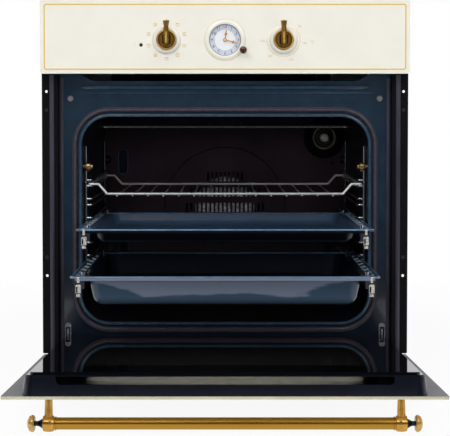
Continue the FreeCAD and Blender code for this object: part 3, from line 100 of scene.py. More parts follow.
class NodeKit:
    """Adds shader nodes to a node tree and returns the sockets that carry their results."""

    def __init__(self, tree):
        self.nodes = tree.nodes
        self.links = tree.links
        self.coords = self.nodes.new("ShaderNodeTexCoord")

    def feed(self, socket, value):
        """Set a plain number or colour on a socket, or link another socket to it."""
        if isinstance(value, (int, float, tuple)):
            socket.default_value = value
        else:
            self.links.new(value, socket)

    def noise(self, scale, stretch=(1, 1, 1)):
        """Noise in the object's own metres."""
        mapping = self.nodes.new("ShaderNodeMapping")
        mapping.inputs["Scale"].default_value = stretch
        texture = self.nodes.new("ShaderNodeTexNoise")
        texture.inputs["Scale"].default_value = scale
        texture.inputs["Detail"].default_value = 4.0
        self.links.new(self.coords.outputs["Object"], mapping.inputs["Vector"])
        self.links.new(mapping.outputs["Vector"], texture.inputs["Vector"])
        return texture.outputs["Fac"]

    def ramp(self, value, first, second, start=0.3, stop=0.7):
        """Colour that runs from the first to the second between two levels of a value."""
        node = self.nodes.new("ShaderNodeValToRGB")
        for element, place, color in zip(node.color_ramp.elements, (start, stop), (first, second)):
            element.position = place
            element.color = color
        self.links.new(value, node.inputs["Fac"])
        return node.outputs["Color"]

    def span(self, value, start, stop, low=0.0, high=1.0):
        """Value carried from the range start to stop over to the range low to high."""
        node = self.nodes.new("ShaderNodeMapRange")
        for label, number in (("From Min", start), ("From Max", stop), ("To Min", low), ("To Max", high)):
            node.inputs[label].default_value = number
        self.links.new(value, node.inputs["Value"])
        return node.outputs["Result"]

    def math(self, operation, first, second):
        """Result of an operation on two sockets or numbers."""
        node = self.nodes.new("ShaderNodeMath")
        node.operation = operation
        self.feed(node.inputs[0], first)
        self.feed(node.inputs[1], second)
        return node.outputs["Value"]

    def mix(self, factor, first, second):
        """Blend of two colours."""
        node = self.nodes.new("ShaderNodeMix")
        node.data_type = "RGBA"
        self.links.new(factor, node.inputs["Factor"])
        colors = [socket for socket in node.inputs if socket.type == "RGBA"]
        self.feed(colors[0], first)
        self.feed(colors[1], second)
        return next(socket for socket in node.outputs if socket.type == "RGBA")

    def axis(self, name, output="Object"):
        """One axis of the texture coordinates."""
        split = self.nodes.new("ShaderNodeSeparateXYZ")
        self.links.new(self.coords.outputs[output], split.inputs["Vector"])
        return split.outputs[name]

    def from_middle(self):
        """Distance to either side of the middle plane."""
        return self.math("ABSOLUTE", self.axis("X"), 0.0)

    def ray(self, kind):
        """1 for rays of one kind."""
        return self.nodes.new("ShaderNodeLightPath").outputs[kind]

    def seen_ray(self):
        """1 for rays that show the background: camera, transmission and glossy rays."""
        straight = self.math("MAXIMUM", self.ray("Is Camera Ray"), self.ray("Is Transmission Ray"))
        return self.math("MAXIMUM", straight, self.ray("Is Glossy Ray"))


class Finish(NodeKit):
    """Material under construction: a Principled shader that takes textures."""

    def __init__(self, name, **sockets):
        self.material = bpy.data.materials.new(name)
        self.material.use_nodes = True
        super().__init__(self.material.node_tree)
        self.shader = self.nodes["Principled BSDF"]
        for label, value in sockets.items():
            self.shader.inputs[label.replace("_", " ")].default_value = value

    def color(self, value):
        """Set the base colour."""
        self.links.new(value, self.shader.inputs["Base Color"])

    def roughness(self, value, low, high):
        """Set the roughness to a range that a value runs through."""
        self.links.new(self.span(value, 0.0, 1.0, low, high), self.shader.inputs["Roughness"])

    def bump(self, value, depth_mm):
        """Set fine relief of a depth in millimetres."""
        node = self.nodes.new("ShaderNodeBump")
        node.inputs["Strength"].default_value = 1.0
        node.inputs["Distance"].default_value = depth_mm * MM
        self.links.new(value, node.inputs["Height"])
        self.links.new(node.outputs["Normal"], self.shader.inputs["Normal"])


def surface(name, dark, light, rough, grain=120, stretch=(1, 1, 1), bump_grain=900, depth_mm=0.02, **sockets):
    """Material whose colour, roughness and fine relief all vary with noise."""
    made = Finish(name, **sockets)
    made.color(made.ramp(made.noise(grain, stretch), dark, light))
    made.roughness(made.noise(grain * 0.6, stretch), *rough)
    made.bump(made.noise(bump_grain, stretch), depth_mm)
    return made.material


def glass(name, tint, rough, grain, depth_mm, alpha):
    """Tinted glass with a slight ripple; a low alpha lets lamp light through to what it covers."""
    made = Finish(name, Transmission_Weight=1.0, IOR=1.46, Alpha=alpha)
    light = tuple(min(part * 1.06, 1) for part in tint)
    made.color(made.ramp(made.noise(grain), tint, light))
    made.roughness(made.noise(grain), *rough)
    made.bump(made.noise(grain), depth_mm)
    return made.material


# Enamels and paints
CREAM_DARK = rgb(237, 233, 221)
CREAM_LIGHT = rgb(240, 237, 226)
cream = surface("cream_enamel", CREAM_DARK, CREAM_LIGHT, (0.28, 0.33), grain=25, bump_grain=350,
                depth_mm=0.015, Coat_Weight=0.35, Coat_Roughness=0.12)
collar_white = surface("warm_white_enamel", rgb(233, 229, 216), rgb(241, 238, 227), (0.24, 0.34), grain=60,
                       bump_grain=400, depth_mm=0.01, Coat_Weight=0.4, Coat_Roughness=0.1)
rim_blue = surface("rim_enamel", rgb(60, 92, 124), rgb(84, 118, 150), (0.16, 0.26), grain=90,
                   bump_grain=300, depth_mm=0.015, Coat_Weight=0.6, Coat_Roughness=0.06)
lip_blue = surface("lip_enamel", rgb(36, 56, 74), rgb(50, 73, 94), (0.2, 0.3), grain=90,
                   bump_grain=300, depth_mm=0.015, Coat_Weight=0.4, Coat_Roughness=0.08)
bead_blue = surface("bead_enamel", rgb(34, 54, 73), rgb(46, 68, 89), (0.12, 0.2), grain=90,
                    bump_grain=300, depth_mm=0.015, Coat_Weight=0.8, Coat_Roughness=0.05)
back_brown = surface("baffle_enamel", rgb(33, 24, 30), rgb(43, 32, 38), (0.42, 0.55), grain=20,
                     bump_grain=500, Specular_IOR_Level=0.25)
# Near-black for pressed lines, slots, gaps and recesses: painted shade
groove_shade_black = surface("painted_groove_shade", rgb(5, 4, 6), rgb(10, 8, 10), (0.5, 0.62), Specular_IOR_Level=0.2)
cavity_dark = surface("cavity_enamel", rgb(9, 14, 24), rgb(14, 22, 34), (0.3, 0.42), grain=45,
                      bump_grain=300, Coat_Weight=0.3, Coat_Roughness=0.25)
liner_black = surface("door_liner_black", rgb(9, 11, 20), rgb(14, 17, 29), (0.10, 0.18), grain=30,
                      bump_grain=300, depth_mm=0.01, Specular_IOR_Level=0.35, Coat_Weight=0.15,
                      Coat_Roughness=0.05)
trim_grey = surface("trim_coating", rgb(7, 7, 11), rgb(12, 11, 16), (0.5, 0.62), grain=80,
                    stretch=(1, 1, 0.1), depth_mm=0.01, Specular_IOR_Level=0.12)
# Lighter purple-grey for the ribs: painted highlight on the dark trim coating
rib_highlight_grey = surface("rib_highlight_coating", rgb(52, 49, 60), rgb(70, 67, 80), (0.34, 0.46), grain=80,
                   stretch=(1, 1, 0.1), depth_mm=0.01, Metallic=0.2)
# Near-black for the blower's duct and rotor behind the outlet under the panel: painted shade
vent_dark = surface("duct_painted_shade", rgb(4, 4, 5), rgb(8, 8, 9), (0.6, 0.75), grain=70, bump_grain=400,
                    depth_mm=0.01, Metallic=0.3)
rotor_dark = surface("rotor_painted_shade", rgb(16, 16, 18), rgb(28, 28, 30), (0.45, 0.6), Metallic=0.5)

# Steel and chrome
galvanised = surface("galvanised_sheet", rgb(160, 163, 166), rgb(178, 181, 184), (0.34, 0.44),
                     bump_grain=400, depth_mm=0.01, Metallic=0.9)
chrome = surface("chrome_wire", rgb(196, 198, 202), rgb(226, 228, 230), (0.08, 0.2), grain=300,
                 depth_mm=0.01, Metallic=1.0)
rack_wire = surface("rack_wire", rgb(186, 188, 188), rgb(226, 228, 226), (0.14, 0.24), grain=300,
                    Metallic=0.5)
runner_steel = surface("runner_steel", rgb(178, 178, 182), rgb(214, 214, 216), (0.2, 0.34), grain=220,
                       stretch=(1, 0.06, 1), depth_mm=0.01, Metallic=1.0)
clip_steel = surface("clip_steel", rgb(188, 184, 178), rgb(240, 237, 231), (0.2, 0.34), grain=420,
                     Metallic=0.45)
receiver_grey = surface("receiver_plate", rgb(104, 108, 114), rgb(140, 144, 150), (0.3, 0.42), grain=200,
                        Metallic=0.4)
heater_steel = surface("heater_sheath", rgb(104, 98, 94), rgb(168, 160, 150), (0.28, 0.46), grain=160,
                       Metallic=0.9)
grill_steel = surface("grill_sheath", rgb(92, 89, 84), rgb(132, 129, 122), (0.12, 0.2), grain=160,
                      depth_mm=0.01, Metallic=0.95)
motor_steel = surface("motor_can", rgb(96, 98, 102), rgb(140, 142, 146), (0.35, 0.5), Metallic=0.9)
dark_screw = surface("browned_screw", rgb(34, 28, 28), rgb(58, 48, 46), (0.35, 0.5), grain=300, Metallic=0.8)
lamp_cup = surface("lamp_cup", rgb(20, 17, 14), rgb(40, 35, 30), (0.3, 0.42), grain=160, Metallic=0.6)
lens_steel = surface("lens_ring_steel", rgb(112, 100, 84), rgb(206, 198, 184), (0.14, 0.24), grain=40,
                     Metallic=0.3)

# Brass, gold and bronze
brass = surface("aged_brass", rgb(171, 127, 46), rgb(184, 139, 56), (0.28, 0.34), stretch=(0.04, 1, 1),
                bump_grain=700, depth_mm=0.01, Metallic=1.0)
bracket_brass = surface("bracket_brass", rgb(176, 130, 50), rgb(206, 160, 80), (0.16, 0.26),
                        depth_mm=0.01, Metallic=0.85)
knob_brass = surface("knob_brass", rgb(122, 85, 20), rgb(176, 132, 52), (0.22, 0.34), grain=180,
                     stretch=(1, 1, 0.25), depth_mm=0.015, Metallic=0.65)
# Dark brown marks round the knob discs and beside the levers: painted shade
knob_shade = surface("knob_painted_shade", rgb(34, 21, 8), rgb(58, 38, 16), (0.4, 0.55), grain=300, Metallic=0.3)
# Lighter brass for the knobs' rims and lever strips: painted highlight
highlight_brass = surface("highlight_brass", rgb(196, 152, 66), rgb(228, 188, 104), (0.24, 0.36), grain=220,
                       Metallic=0.5)
stud_brass = surface("stud_brass", rgb(150, 112, 72), rgb(206, 176, 128), (0.2, 0.35), grain=300,
                     Metallic=1.0)
copper_gold = surface("copper_gold", rgb(172, 112, 6), rgb(204, 146, 26), (0.25, 0.4), grain=400,
                      Metallic=0.3)
bronze = surface("bronze_ball", rgb(70, 42, 14), rgb(94, 58, 22), (0.05, 0.1), grain=160, depth_mm=0.002,
                 Metallic=1.0, Coat_Weight=1.0, Coat_Roughness=0.03)

# Prints
gold_print = surface("gold_print", rgb(221, 186, 72), rgb(230, 198, 90), (0.4, 0.55), grain=300)
faint_gold = surface("faint_gold_print", rgb(210, 178, 108), rgb(222, 194, 130), (0.4, 0.55), grain=400)
pale_gold = surface("pale_gold_print", rgb(222, 210, 172), rgb(230, 219, 184), (0.4, 0.55), grain=400)
dark_print = surface("dark_print", rgb(20, 20, 28), rgb(32, 32, 40), (0.6, 0.7), grain=500,
                     Specular_IOR_Level=0.2)
# Dark grey ring at the dial's edge: painted shade under the bezel
dial_rim_shade = surface("dial_rim_painted_shade", rgb(88, 90, 106), rgb(112, 114, 130), (0.5, 0.6), grain=300)
chapter_blue = surface("chapter_ring", rgb(198, 205, 221), rgb(211, 217, 231), (0.5, 0.6), grain=200)
dial_white = surface("dial_white", rgb(233, 235, 240), rgb(240, 242, 246), (0.5, 0.6), grain=150)

# Rubber, plastic, wool and glass
rubber = surface("gasket_rubber", rgb(50, 46, 55), rgb(70, 65, 75), (0.38, 0.5), grain=200,
                 bump_grain=700, depth_mm=0.03)
bumper_grey = surface("bumper_rubber", rgb(96, 92, 94), rgb(120, 116, 118), (0.5, 0.62), grain=300,
                      depth_mm=0.03)
black_plastic = surface("black_plastic", rgb(14, 14, 15), rgb(24, 24, 25), (0.42, 0.55), grain=200,
                        bump_grain=1100, depth_mm=0.03)
wool = surface("glass_wool", rgb(196, 188, 150), rgb(222, 214, 180), (0.9, 0.98), grain=90,
               bump_grain=220, depth_mm=1.2)
pilot_dark = surface("pilot_lens", rgb(22, 18, 20), rgb(38, 30, 32), (0.08, 0.16), grain=500, Coat_Weight=0.8)
bulb_grey = surface("bulb_glass", rgb(120, 126, 130), rgb(206, 212, 214), (0.08, 0.18), grain=90,
                    Coat_Weight=0.8)
cover_glass = glass("cover_glass", rgb(240, 244, 244), (0.18, 0.24), 20, 0.002, 0.08)
lens_glass = glass("lens_glass", rgb(232, 236, 232), (0.02, 0.06), 160, 0.06, 0.35)
pane_glass = glass("pane_glass", rgb(232, 238, 236), (0.01, 0.03), 20, 0.002, 0.3)
window_glass = glass("window_glass", rgb(150, 144, 116), (0.02, 0.05), 20, 0.002, 0.8)

# Places at which the finishes of single nodes change, in millimetres
CLEAR_HALF = 205.0
CLEAR_NEAR = -640.0
CLEAR_FAR = -350.0
TRAY_WALL_DEPTH = 34.0
TRAY_TONE_MIDDLE = 120.0
TRAY_TONE_END = 195.0
FAN_BRIGHT_RADIUS = 46.0
FAN_DARK_RADIUS = 60.0
FINIAL_NECK_END = 256.9
# Heights over which the front frame's painted shade fades into its navy
FRAME_SHADE_Z = 30.0
FRAME_BLUE_Z = 260.0


def door_pane():
    """Dark mirror-like pane with an opaque black printed border round a smoked middle."""
    made = Finish("door_pane", IOR=1.5, Specular_IOR_Level=0.4)
    middle = made.math("LESS_THAN", made.from_middle(), CLEAR_HALF * MM)
    near = made.math("GREATER_THAN", made.axis("Y"), CLEAR_NEAR * MM)
    far = made.math("LESS_THAN", made.axis("Y"), CLEAR_FAR * MM)
    clear = made.math("MULTIPLY", made.math("MULTIPLY", middle, near), far)
    smoke = made.ramp(made.noise(30), rgb(64, 64, 66), rgb(72, 72, 74))
    made.color(made.mix(clear, rgb(4, 5, 7), smoke))
    made.links.new(made.math("MULTIPLY", clear, 0.9), made.shader.inputs["Transmission Weight"])
    made.roughness(made.noise(60), 0.01, 0.03)
    made.bump(made.noise(12), 0.004)
    return made.material


def tray_enamel(name, node, inside, wall, rough, ripple):
    """Glossy enamel whose outer front wall carries painted light and shade: the first tone low down and
    towards the ends, the second higher up.
    """
    made = Finish(name, Coat_Weight=0.1, Coat_Roughness=0.25, Specular_IOR_Level=0.3)
    low, high = box_mm(node)
    ahead = made.math("LESS_THAN", made.axis("Y"), (low.y + TRAY_WALL_DEPTH) * MM)
    facing = made.span(made.axis("Y", "Normal"), -0.2, -0.7)
    height = made.span(made.axis("Z"), low.z * MM, high.z * MM)
    shaded_ends = made.span(made.from_middle(), TRAY_TONE_MIDDLE * MM, TRAY_TONE_END * MM)
    tone = made.noise(9, (1, 1, 5))
    wavy = made.math("ADD", height, made.math("MULTIPLY", tone, 0.7))
    level = made.math("SUBTRACT", wavy, made.math("MULTIPLY", shaded_ends, 0.45))
    # Painted light and shade on the front wall: tones that rise with height and fall towards the ends
    painted_front_light = made.ramp(level, *wall, start=0.7, stop=0.78)
    made.color(made.mix(made.math("MULTIPLY", ahead, facing), made.ramp(tone, *inside), painted_front_light))
    made.roughness(made.noise(40), *rough)
    made.bump(made.noise(240), ripple)
    return made.material


def outer_panel():
    """Cream outside; painted shade in a deeper tone on the edge over the handle; bare coated sheet towards
    the oven.
    """
    made = Finish("outer_panel", Coat_Weight=0.1, Coat_Roughness=0.15, Specular_IOR_Level=0.3)
    inside = made.math("GREATER_THAN", made.axis("Z", "Normal"), 0.5)
    edge = made.math("LESS_THAN", made.axis("Y", "Normal"), -0.5)
    paint = made.ramp(made.noise(25), CREAM_DARK, CREAM_LIGHT)
    # Painted shade: the edge faces over the handle get a darker cream
    painted_edge_shade = made.ramp(made.noise(40), rgb(172, 168, 144), rgb(188, 184, 160))
    bare = made.ramp(made.noise(60, (0.2, 1, 1)), rgb(90, 90, 96), rgb(106, 106, 112))
    made.color(made.mix(inside, made.mix(edge, paint, painted_edge_shade), bare))
    made.roughness(inside, 0.34, 0.62)
    made.bump(made.noise(350), 0.015)
    return made.material


def fan_metal():
    """Pressed blades whose bright colour carries painted highlight spots, dark towards their tips."""
    made = Finish("fan_aluminium", Metallic=0.25)
    fan_low, fan_high = box_mm("convection_fan")
    up = made.math("SUBTRACT", made.axis("Z"), (fan_low.z + fan_high.z) / 2 * MM)
    across = made.axis("X")
    squared = made.math("ADD", made.math("MULTIPLY", across, across), made.math("MULTIPLY", up, up))
    out = made.span(squared, (FAN_BRIGHT_RADIUS * MM) ** 2, (FAN_DARK_RADIUS * MM) ** 2)
    # Painted highlight: high-contrast noise puts bright spots on the blades
    bright = made.ramp(made.noise(160), rgb(150, 146, 156), rgb(248, 246, 250), 0.35, 0.6)
    tip = made.ramp(made.noise(160), rgb(14, 12, 14), rgb(24, 21, 23))
    made.color(made.mix(out, bright, tip))
    made.roughness(made.noise(90), 0.2, 0.36)
    made.bump(made.noise(900), 0.02)
    return made.material


def finial_metal():
    """Brass cap on a dark painted neck."""
    made = Finish("finial_metal", Metallic=0.6)
    neck = made.math("LESS_THAN", made.from_middle(), FINIAL_NECK_END * MM)
    cap = made.ramp(made.noise(160), rgb(186, 144, 74), rgb(212, 172, 102))
    dark = made.ramp(made.noise(200), rgb(16, 17, 20), rgb(34, 36, 42))
    made.color(made.mix(neck, cap, dark))
    made.roughness(made.noise(90), 0.16, 0.26)
    made.bump(made.noise(700), 0.015)
    return made.material


def frame_enamel():
    """Glossy navy enamel with painted shade: a darker copy of the navy towards the bottom edge."""
    made = Finish("frame_enamel", Coat_Weight=0.6, Coat_Roughness=0.06)
    height = made.span(made.axis("Z"), FRAME_SHADE_Z * MM, FRAME_BLUE_Z * MM)
    tone = made.noise(40)
    # Painted shade: the darker navy low down stands in for the shade on the lower frame
    deep = made.ramp(tone, rgb(12, 16, 26), rgb(18, 23, 34))
    blue = made.ramp(tone, rgb(23, 41, 57), rgb(31, 51, 68))
    made.color(made.mix(height, deep, blue))
    made.roughness(made.noise(24), 0.13, 0.22)
    made.bump(made.noise(260), 0.02)
    return made.material


# Deep tray: its lighter front wall is painted reflection over the blue-grey enamel, and its near-black inside
# is painted shade under the upper tray
deep_enamel = tray_enamel("deep_tray_enamel", "lower_tray", (rgb(8, 10, 20), rgb(14, 18, 30)),
                          (rgb(55, 74, 93), rgb(110, 119, 138)), (0.18, 0.26), 0.025)
# Shallow tray: its near-black front wall is painted shade under its rim
shallow_enamel = tray_enamel("shallow_tray_enamel", "upper_tray", (rgb(42, 59, 80), rgb(51, 71, 94)),
                             (rgb(3, 4, 10), rgb(5, 6, 14)), (0.26, 0.34), 0.015)

NODE_FINISH = {
    "casing_base": galvanised, "casing_top": galvanised, "casing_sides": galvanised,
    "casing_back": galvanised, "side_trims": trim_grey, "trim_plugs": black_plastic,
    "front_frame": frame_enamel(), "door_bumpers": bumper_grey, "cavity": cavity_dark,
    "insulation_wrap": wool, "fan_baffle": back_brown, "baffle_screws": dark_screw,
    "fan_motor": motor_steel, "ring_element": heater_steel, "grill_element": grill_steel,
    "bottom_element": heater_steel, "lamp_holder": lamp_cup, "lamp_lens": lens_glass,
    "side_rack_left": chrome, "side_rack_right": chrome, "rack_studs": stud_brass,
    "guide_rails": runner_steel, "control_panel": cream, "knob_collars": collar_white,
    "function_switch": black_plastic, "thermostat": black_plastic, "clock_housing": black_plastic,
    "clock_dial": dial_white, "clock_bezel": cream, "clock_glass": cover_glass,
    "indicator_lamp": pilot_dark, "hinge_hooks": runner_steel, "hinge_receivers": receiver_grey,
    "blower_housing": vent_dark, "mains_inlet": black_plastic, "door_outer_panel": outer_panel(),
    "door_window": window_glass, "door_liner": liner_black, "door_inner_glass": door_pane(),
    "door_middle_glass": pane_glass, "hinge_leaves": runner_steel, "handle_bar": brass,
    "handle_brackets": bracket_brass, "handle_finials": finial_metal(),
    "lower_middle_rails": runner_steel, "lower_carriage": chrome, "lower_tray": deep_enamel,
    "upper_middle_rails": runner_steel, "upper_carriage": chrome, "upper_tray": shallow_enamel,
    "wire_rack": rack_wire, "function_knob": knob_brass, "temperature_knob": knob_brass,
    "hour_hand": copper_gold, "minute_hand": copper_gold, "clock_stem": runner_steel,
    "clock_button": bronze, "convection_fan": fan_metal(), "blower_rotor": rotor_dark,
}
for node_name, finish in NODE_FINISH.items():
    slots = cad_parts[node_name].data.materials
    slots.clear()
    slots.append(finish)


# Helpers for points and outlines; places are given in millimetres
def front(across, up, depth):
    """Point of a drawing that is seen from the front."""
    return Vector((across, depth, up)) * MM


def top(across, back, height):
    """Point of a drawing that is seen from above."""
    return Vector((across, back, height)) * MM


def side_place(sign):
    """Placing of a drawing on the casing's left or right side."""
    return lambda along, up, depth: Vector((sign * depth, along, up)) * MM


def on_door(across, up, depth):
    """Point drawn on the shut door, swung open about the hinge line."""
    arm_y = depth - HINGE_Y
    arm_z = up - HINGE_Z
    y = HINGE_Y + arm_y * math.cos(DOOR_SWING) - arm_z * math.sin(DOOR_SWING)
    z = HINGE_Z + arm_y * math.sin(DOOR_SWING) + arm_z * math.cos(DOOR_SWING)
    return Vector((across, y, z)) * MM


def on_dial(middle, radius, degrees):
    """Point on a circle round a control, clockwise from its top."""
    angle = math.radians(degrees)
    return middle + radius * math.sin(angle), CONTROL_Z + radius * math.cos(angle)


def shifted(points, across, up):
    """Points moved to another place of the drawing."""
    return [(across + u, up + v) for u, v in points]


def lifted(profile, base):
    """Profile of (outward, depth) points whose depths start at a base plane."""
    return [(out, base + depth) for out, depth in profile]


def flat_band(width, near, far):
    """Profile of a flat band that lies inside its outline."""
    return [(0, near), (-width, near), (-width, far), (0, far)]


def pressed_bead(sheet):
    """Profile of a rounded bead that stands 2 mm proud of a sheet."""
    return lifted([(0, -0.3), (-1.2, 1.2), (-3.4, 2.0), (-6.6, 2.0), (-8.8, 1.2), (-10, -0.3)], sheet)


def arc_point(middle_u, middle_v, radius, angle):
    """Point on a circle, with its outward direction."""
    out = (math.cos(angle), math.sin(angle))
    return (middle_u + radius * out[0], middle_v + radius * out[1]), out


def circle_outline(u, v, radius, steps):
    """Points with outward directions round a circle."""
    return [arc_point(u, v, radius, 2 * math.pi * step / steps) for step in range(steps)]


def rounded_outline(half_u, low_v, high_v, radius, steps=10, middle_u=0.0):
    """Points with outward directions round a rounded rectangle."""
    outline = []
    corners = ((half_u, high_v), (-half_u, high_v), (-half_u, low_v), (half_u, low_v))
    for corner, (u, v) in enumerate(corners):
        centre_u = u - math.copysign(radius, u)
        centre_v = v - radius if v == high_v else v + radius
        for step in range(steps + 1):
            angle = math.radians(90 * (corner + step / steps))
            outline.append(arc_point(middle_u + centre_u, centre_v, radius, angle))
    return outline


def opening_path(grow):
    """Outline of the cavity's mouth, grown by some millimetres."""
    return rounded_outline(OPENING_HALF + grow, OPENING_LOW - grow, OPENING_HIGH + grow,
                           OPENING_RADIUS + grow, 16)


def line_corners(u0, v0, u1, v1, width):
    """Corners of a straight stroke between two points."""
    length = math.hypot(u1 - u0, v1 - v0)
    side_u = -(v1 - v0) / length * width / 2
    side_v = (u1 - u0) / length * width / 2
    return [(u0 + side_u, v0 + side_v), (u0 - side_u, v0 - side_v),
            (u1 - side_u, v1 - side_v), (u1 + side_u, v1 + side_v)]


# Helpers for meshes
def join_rings(bm, here, ahead):
    """Faces between two rings with the same number of points."""
    count = len(here)
    for index in range(count):
        following = (index + 1) % count
        bm.faces.new((here[index], here[following], ahead[following], ahead[index]))


def add_sweep(bm, outline, profile, place):
    """Closed profile of (outward, depth) points carried round a closed outline."""
    rings = []
    for (u, v), (out_u, out_v) in outline:
        rings.append([bm.verts.new(place(u + out_u * out, v + out_v * out, depth)) for out, depth in profile])
    for here, ahead in zip(rings, rings[1:] + rings[:1]):
        join_rings(bm, here, ahead)


def add_slab(bm, points, near, far, place):
    """Flat shape from corner points, given a thickness."""
    front_ring = [bm.verts.new(place(u, v, near)) for u, v in points]
    back_ring = [bm.verts.new(place(u, v, far)) for u, v in points]
    bm.faces.new(front_ring)
    bm.faces.new(back_ring)
    join_rings(bm, front_ring, back_ring)


def add_stack(bm, rings):
    """Closed solid through a row of rings."""
    for here, ahead in zip(rings, rings[1:]):
        join_rings(bm, here, ahead)
    bm.faces.new(rings[0])
    bm.faces.new(rings[-1])


def add_dome(bm, points, layers, place):
    """Shape that shrinks towards its middle line as it rises: layers are (inset, depth) pairs."""
    middle_v = sum(v for u, v in points) / len(points)
    least = 0.05
    rings = []
    for inset, depth in layers:
        ring = []
        for u, v in points:
            reach = abs(v - middle_v)
            toward = max(reach - inset, least) / reach if reach > least else 1.0
            drawn_v = middle_v + (v - middle_v) * toward
            ring.append(bm.verts.new(place(u - math.copysign(inset, u), drawn_v, depth)))
        rings.append(ring)
    add_stack(bm, rings)


def add_lathe(bm, profile, origin, direction, steps=24):
    """Solid of revolution from (radius, along) points about a line from origin."""
    turn = Vector((0, 0, 1)).rotation_difference(Vector(direction)).to_matrix()
    rings = []
    for radius, along in profile:
        ring = []
        for step in range(steps):
            angle = 2 * math.pi * step / steps
            offset = turn @ Vector((radius * math.cos(angle), radius * math.sin(angle), along))
            ring.append(bm.verts.new((Vector(origin) + offset) * MM))
        rings.append(ring)
    add_stack(bm, rings)


def add_rib(bm, middle, half_width, base_y, rise, low_z, high_z):
    """Upright rib with a rounded front and a foot sunk into what it stands on."""
    foot = 0.3
    steps = 8
    profile = []
    for step in range(steps + 1):
        angle = math.pi * step / steps
        depth = base_y + foot - (rise + foot) * math.sin(angle)
        profile.append((middle - half_width * math.cos(angle), depth))
    add_stack(bm, [[bm.verts.new(Vector((x, y, z)) * MM) for x, y in profile] for z in (low_z, high_z)])


def add_words(bm, words, size, place, depth, thickness):
    """Numbers set in Blender's own plain type, laid on a plane seen from the front."""
    curve = bpy.data.curves.new("words", "FONT")
    curve.body = words
    curve.size = size
    curve.align_x = "CENTER"
    curve.align_y = "CENTER"
    curve.extrude = thickness / 2
    holder = bpy.data.objects.new("words", curve)
    scene.collection.objects.link(holder)
    bpy.context.view_layer.update()
    mesh = bpy.data.meshes.new_from_object(holder)
    mesh.transform(Matrix.Translation(front(*place, depth)) @ Matrix.Rotation(math.pi / 2, 4, "X")
                   @ Matrix.Scale(MM, 4))
    bm.from_mesh(mesh)
    bpy.data.objects.remove(holder)
    bpy.data.curves.remove(curve)
    bpy.data.meshes.remove(mesh)


def piece(name, bm, body, finish, smooth_angle=35):
    """Finished mesh piece that rides on a body."""
    bmesh.ops.recalc_face_normals(bm, faces=bm.faces)
    for face in bm.faces:
        face.smooth = True
    for edge in bm.edges:
        edge.smooth = edge.calc_face_angle(0.0) < math.radians(smooth_angle)
    mesh = bpy.data.meshes.new(name)
    bm.to_mesh(mesh)
    bm.free()
    mesh.materials.append(finish)
    obj = bpy.data.objects.new(name, mesh)
    scene.collection.objects.link(obj)
    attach(obj, body)
    return obj


def soften(obj, width):
    """Round the edges of a piece."""
    bevel = obj.modifiers.new("edge", "BEVEL")
    bevel.width = width * MM
    bevel.segments = 2


# Control panel: printed border
PRINT = 0.12
NEAR_PRINT = FACE_Y - PRINT
FAR_PRINT = FACE_Y + PRINT
BORDER_INSET = 6.0
BORDER_WIDTH = 2.0
BORDER_RADIUS = 4.5
border = bmesh.new()
border_path = rounded_outline(HALF_WIDTH - BORDER_INSET, panel_low.z + BORDER_INSET,
                              panel_high.z - BORDER_INSET, BORDER_RADIUS)
add_sweep(border, border_path, flat_band(BORDER_WIDTH, NEAR_PRINT, FAR_PRINT), front)
piece("panel_border_line", border, "oven", gold_print)


def add_stroke(bm, start, end, width):
    """Printed stroke on the panel's face."""
    add_slab(bm, line_corners(*start, *end, width), NEAR_PRINT, FAR_PRINT, front)


# Control panel: marks round the two knobs and beside the pilot lamp
ZERO_START = 28
ZERO_END = 33.5
ZERO_WIDTH = 0.8
MARK_RADIUS = 30.0
MARK_SIZE = 2.6
MARK_LINE = 0.7
MARK_BAR_HALF = 1.6
MARK_BAR_RISE = 1.5
MARK_RING_RADIUS = 1.3
MARK_RING_LINE = 0.6
SQUARE = ((1, 1), (-1, 1), (-1, -1), (1, -1))
marks = bmesh.new()
for sign in (-1, 1):
    add_stroke(marks, (sign * KNOB_X, CONTROL_Z + ZERO_START), (sign * KNOB_X, CONTROL_Z + ZERO_END),
               ZERO_WIDTH)
for position in range(1, 10):
    u, v = on_dial(-KNOB_X, MARK_RADIUS, 36 * position)
    square = [((u + du * MARK_SIZE, v + dv * MARK_SIZE), (du, dv)) for du, dv in SQUARE]
    add_sweep(marks, square, flat_band(MARK_LINE, NEAR_PRINT, FAR_PRINT), front)
    if position % 3 != 0:
        add_stroke(marks, (u - MARK_BAR_HALF, v + MARK_BAR_RISE), (u + MARK_BAR_HALF, v + MARK_BAR_RISE),
                   MARK_LINE)
    if position % 2 == 0:
        add_stroke(marks, (u - MARK_BAR_HALF, v - MARK_BAR_RISE), (u + MARK_BAR_HALF, v - MARK_BAR_RISE),
                   MARK_LINE)
    if position % 3 == 0 or position == 5:
        add_sweep(marks, circle_outline(u, v, MARK_RING_RADIUS, 16),
                  flat_band(MARK_RING_LINE, NEAR_PRINT, FAR_PRINT), front)
TICK_RADIUS = 25.4
TICK_STEP = 4.8
TICK_WIDTH = 0.9
TICK_SHORT = 1.7
TICK_LONG = 3.0
for tick in range(11, 58):
    reach = TICK_LONG if tick % 5 == 0 else TICK_SHORT
    add_stroke(marks, on_dial(KNOB_X, TICK_RADIUS, TICK_STEP * tick),
               on_dial(KNOB_X, TICK_RADIUS + reach, TICK_STEP * tick), TICK_WIDTH)
NUMBER_RADIUS = 34
NUMBER_SIZE = 5.0
UNIT_SIZE = 6.4
UNIT_X = 46
UNIT_DROP = 3.5
for number, degrees in (("50", 50), ("100", 99), ("150", 159), ("200", 220), ("250", 267)):
    add_words(marks, number, NUMBER_SIZE, on_dial(KNOB_X, NUMBER_RADIUS, degrees), FACE_Y, 2 * PRINT)
add_words(marks, "°C", UNIT_SIZE, (KNOB_X + UNIT_X, CONTROL_Z - UNIT_DROP), FACE_Y, 2 * PRINT)
pilot_low, pilot_high = box_mm("indicator_lamp")
PILOT_Z = (pilot_low.z + pilot_high.z) / 2
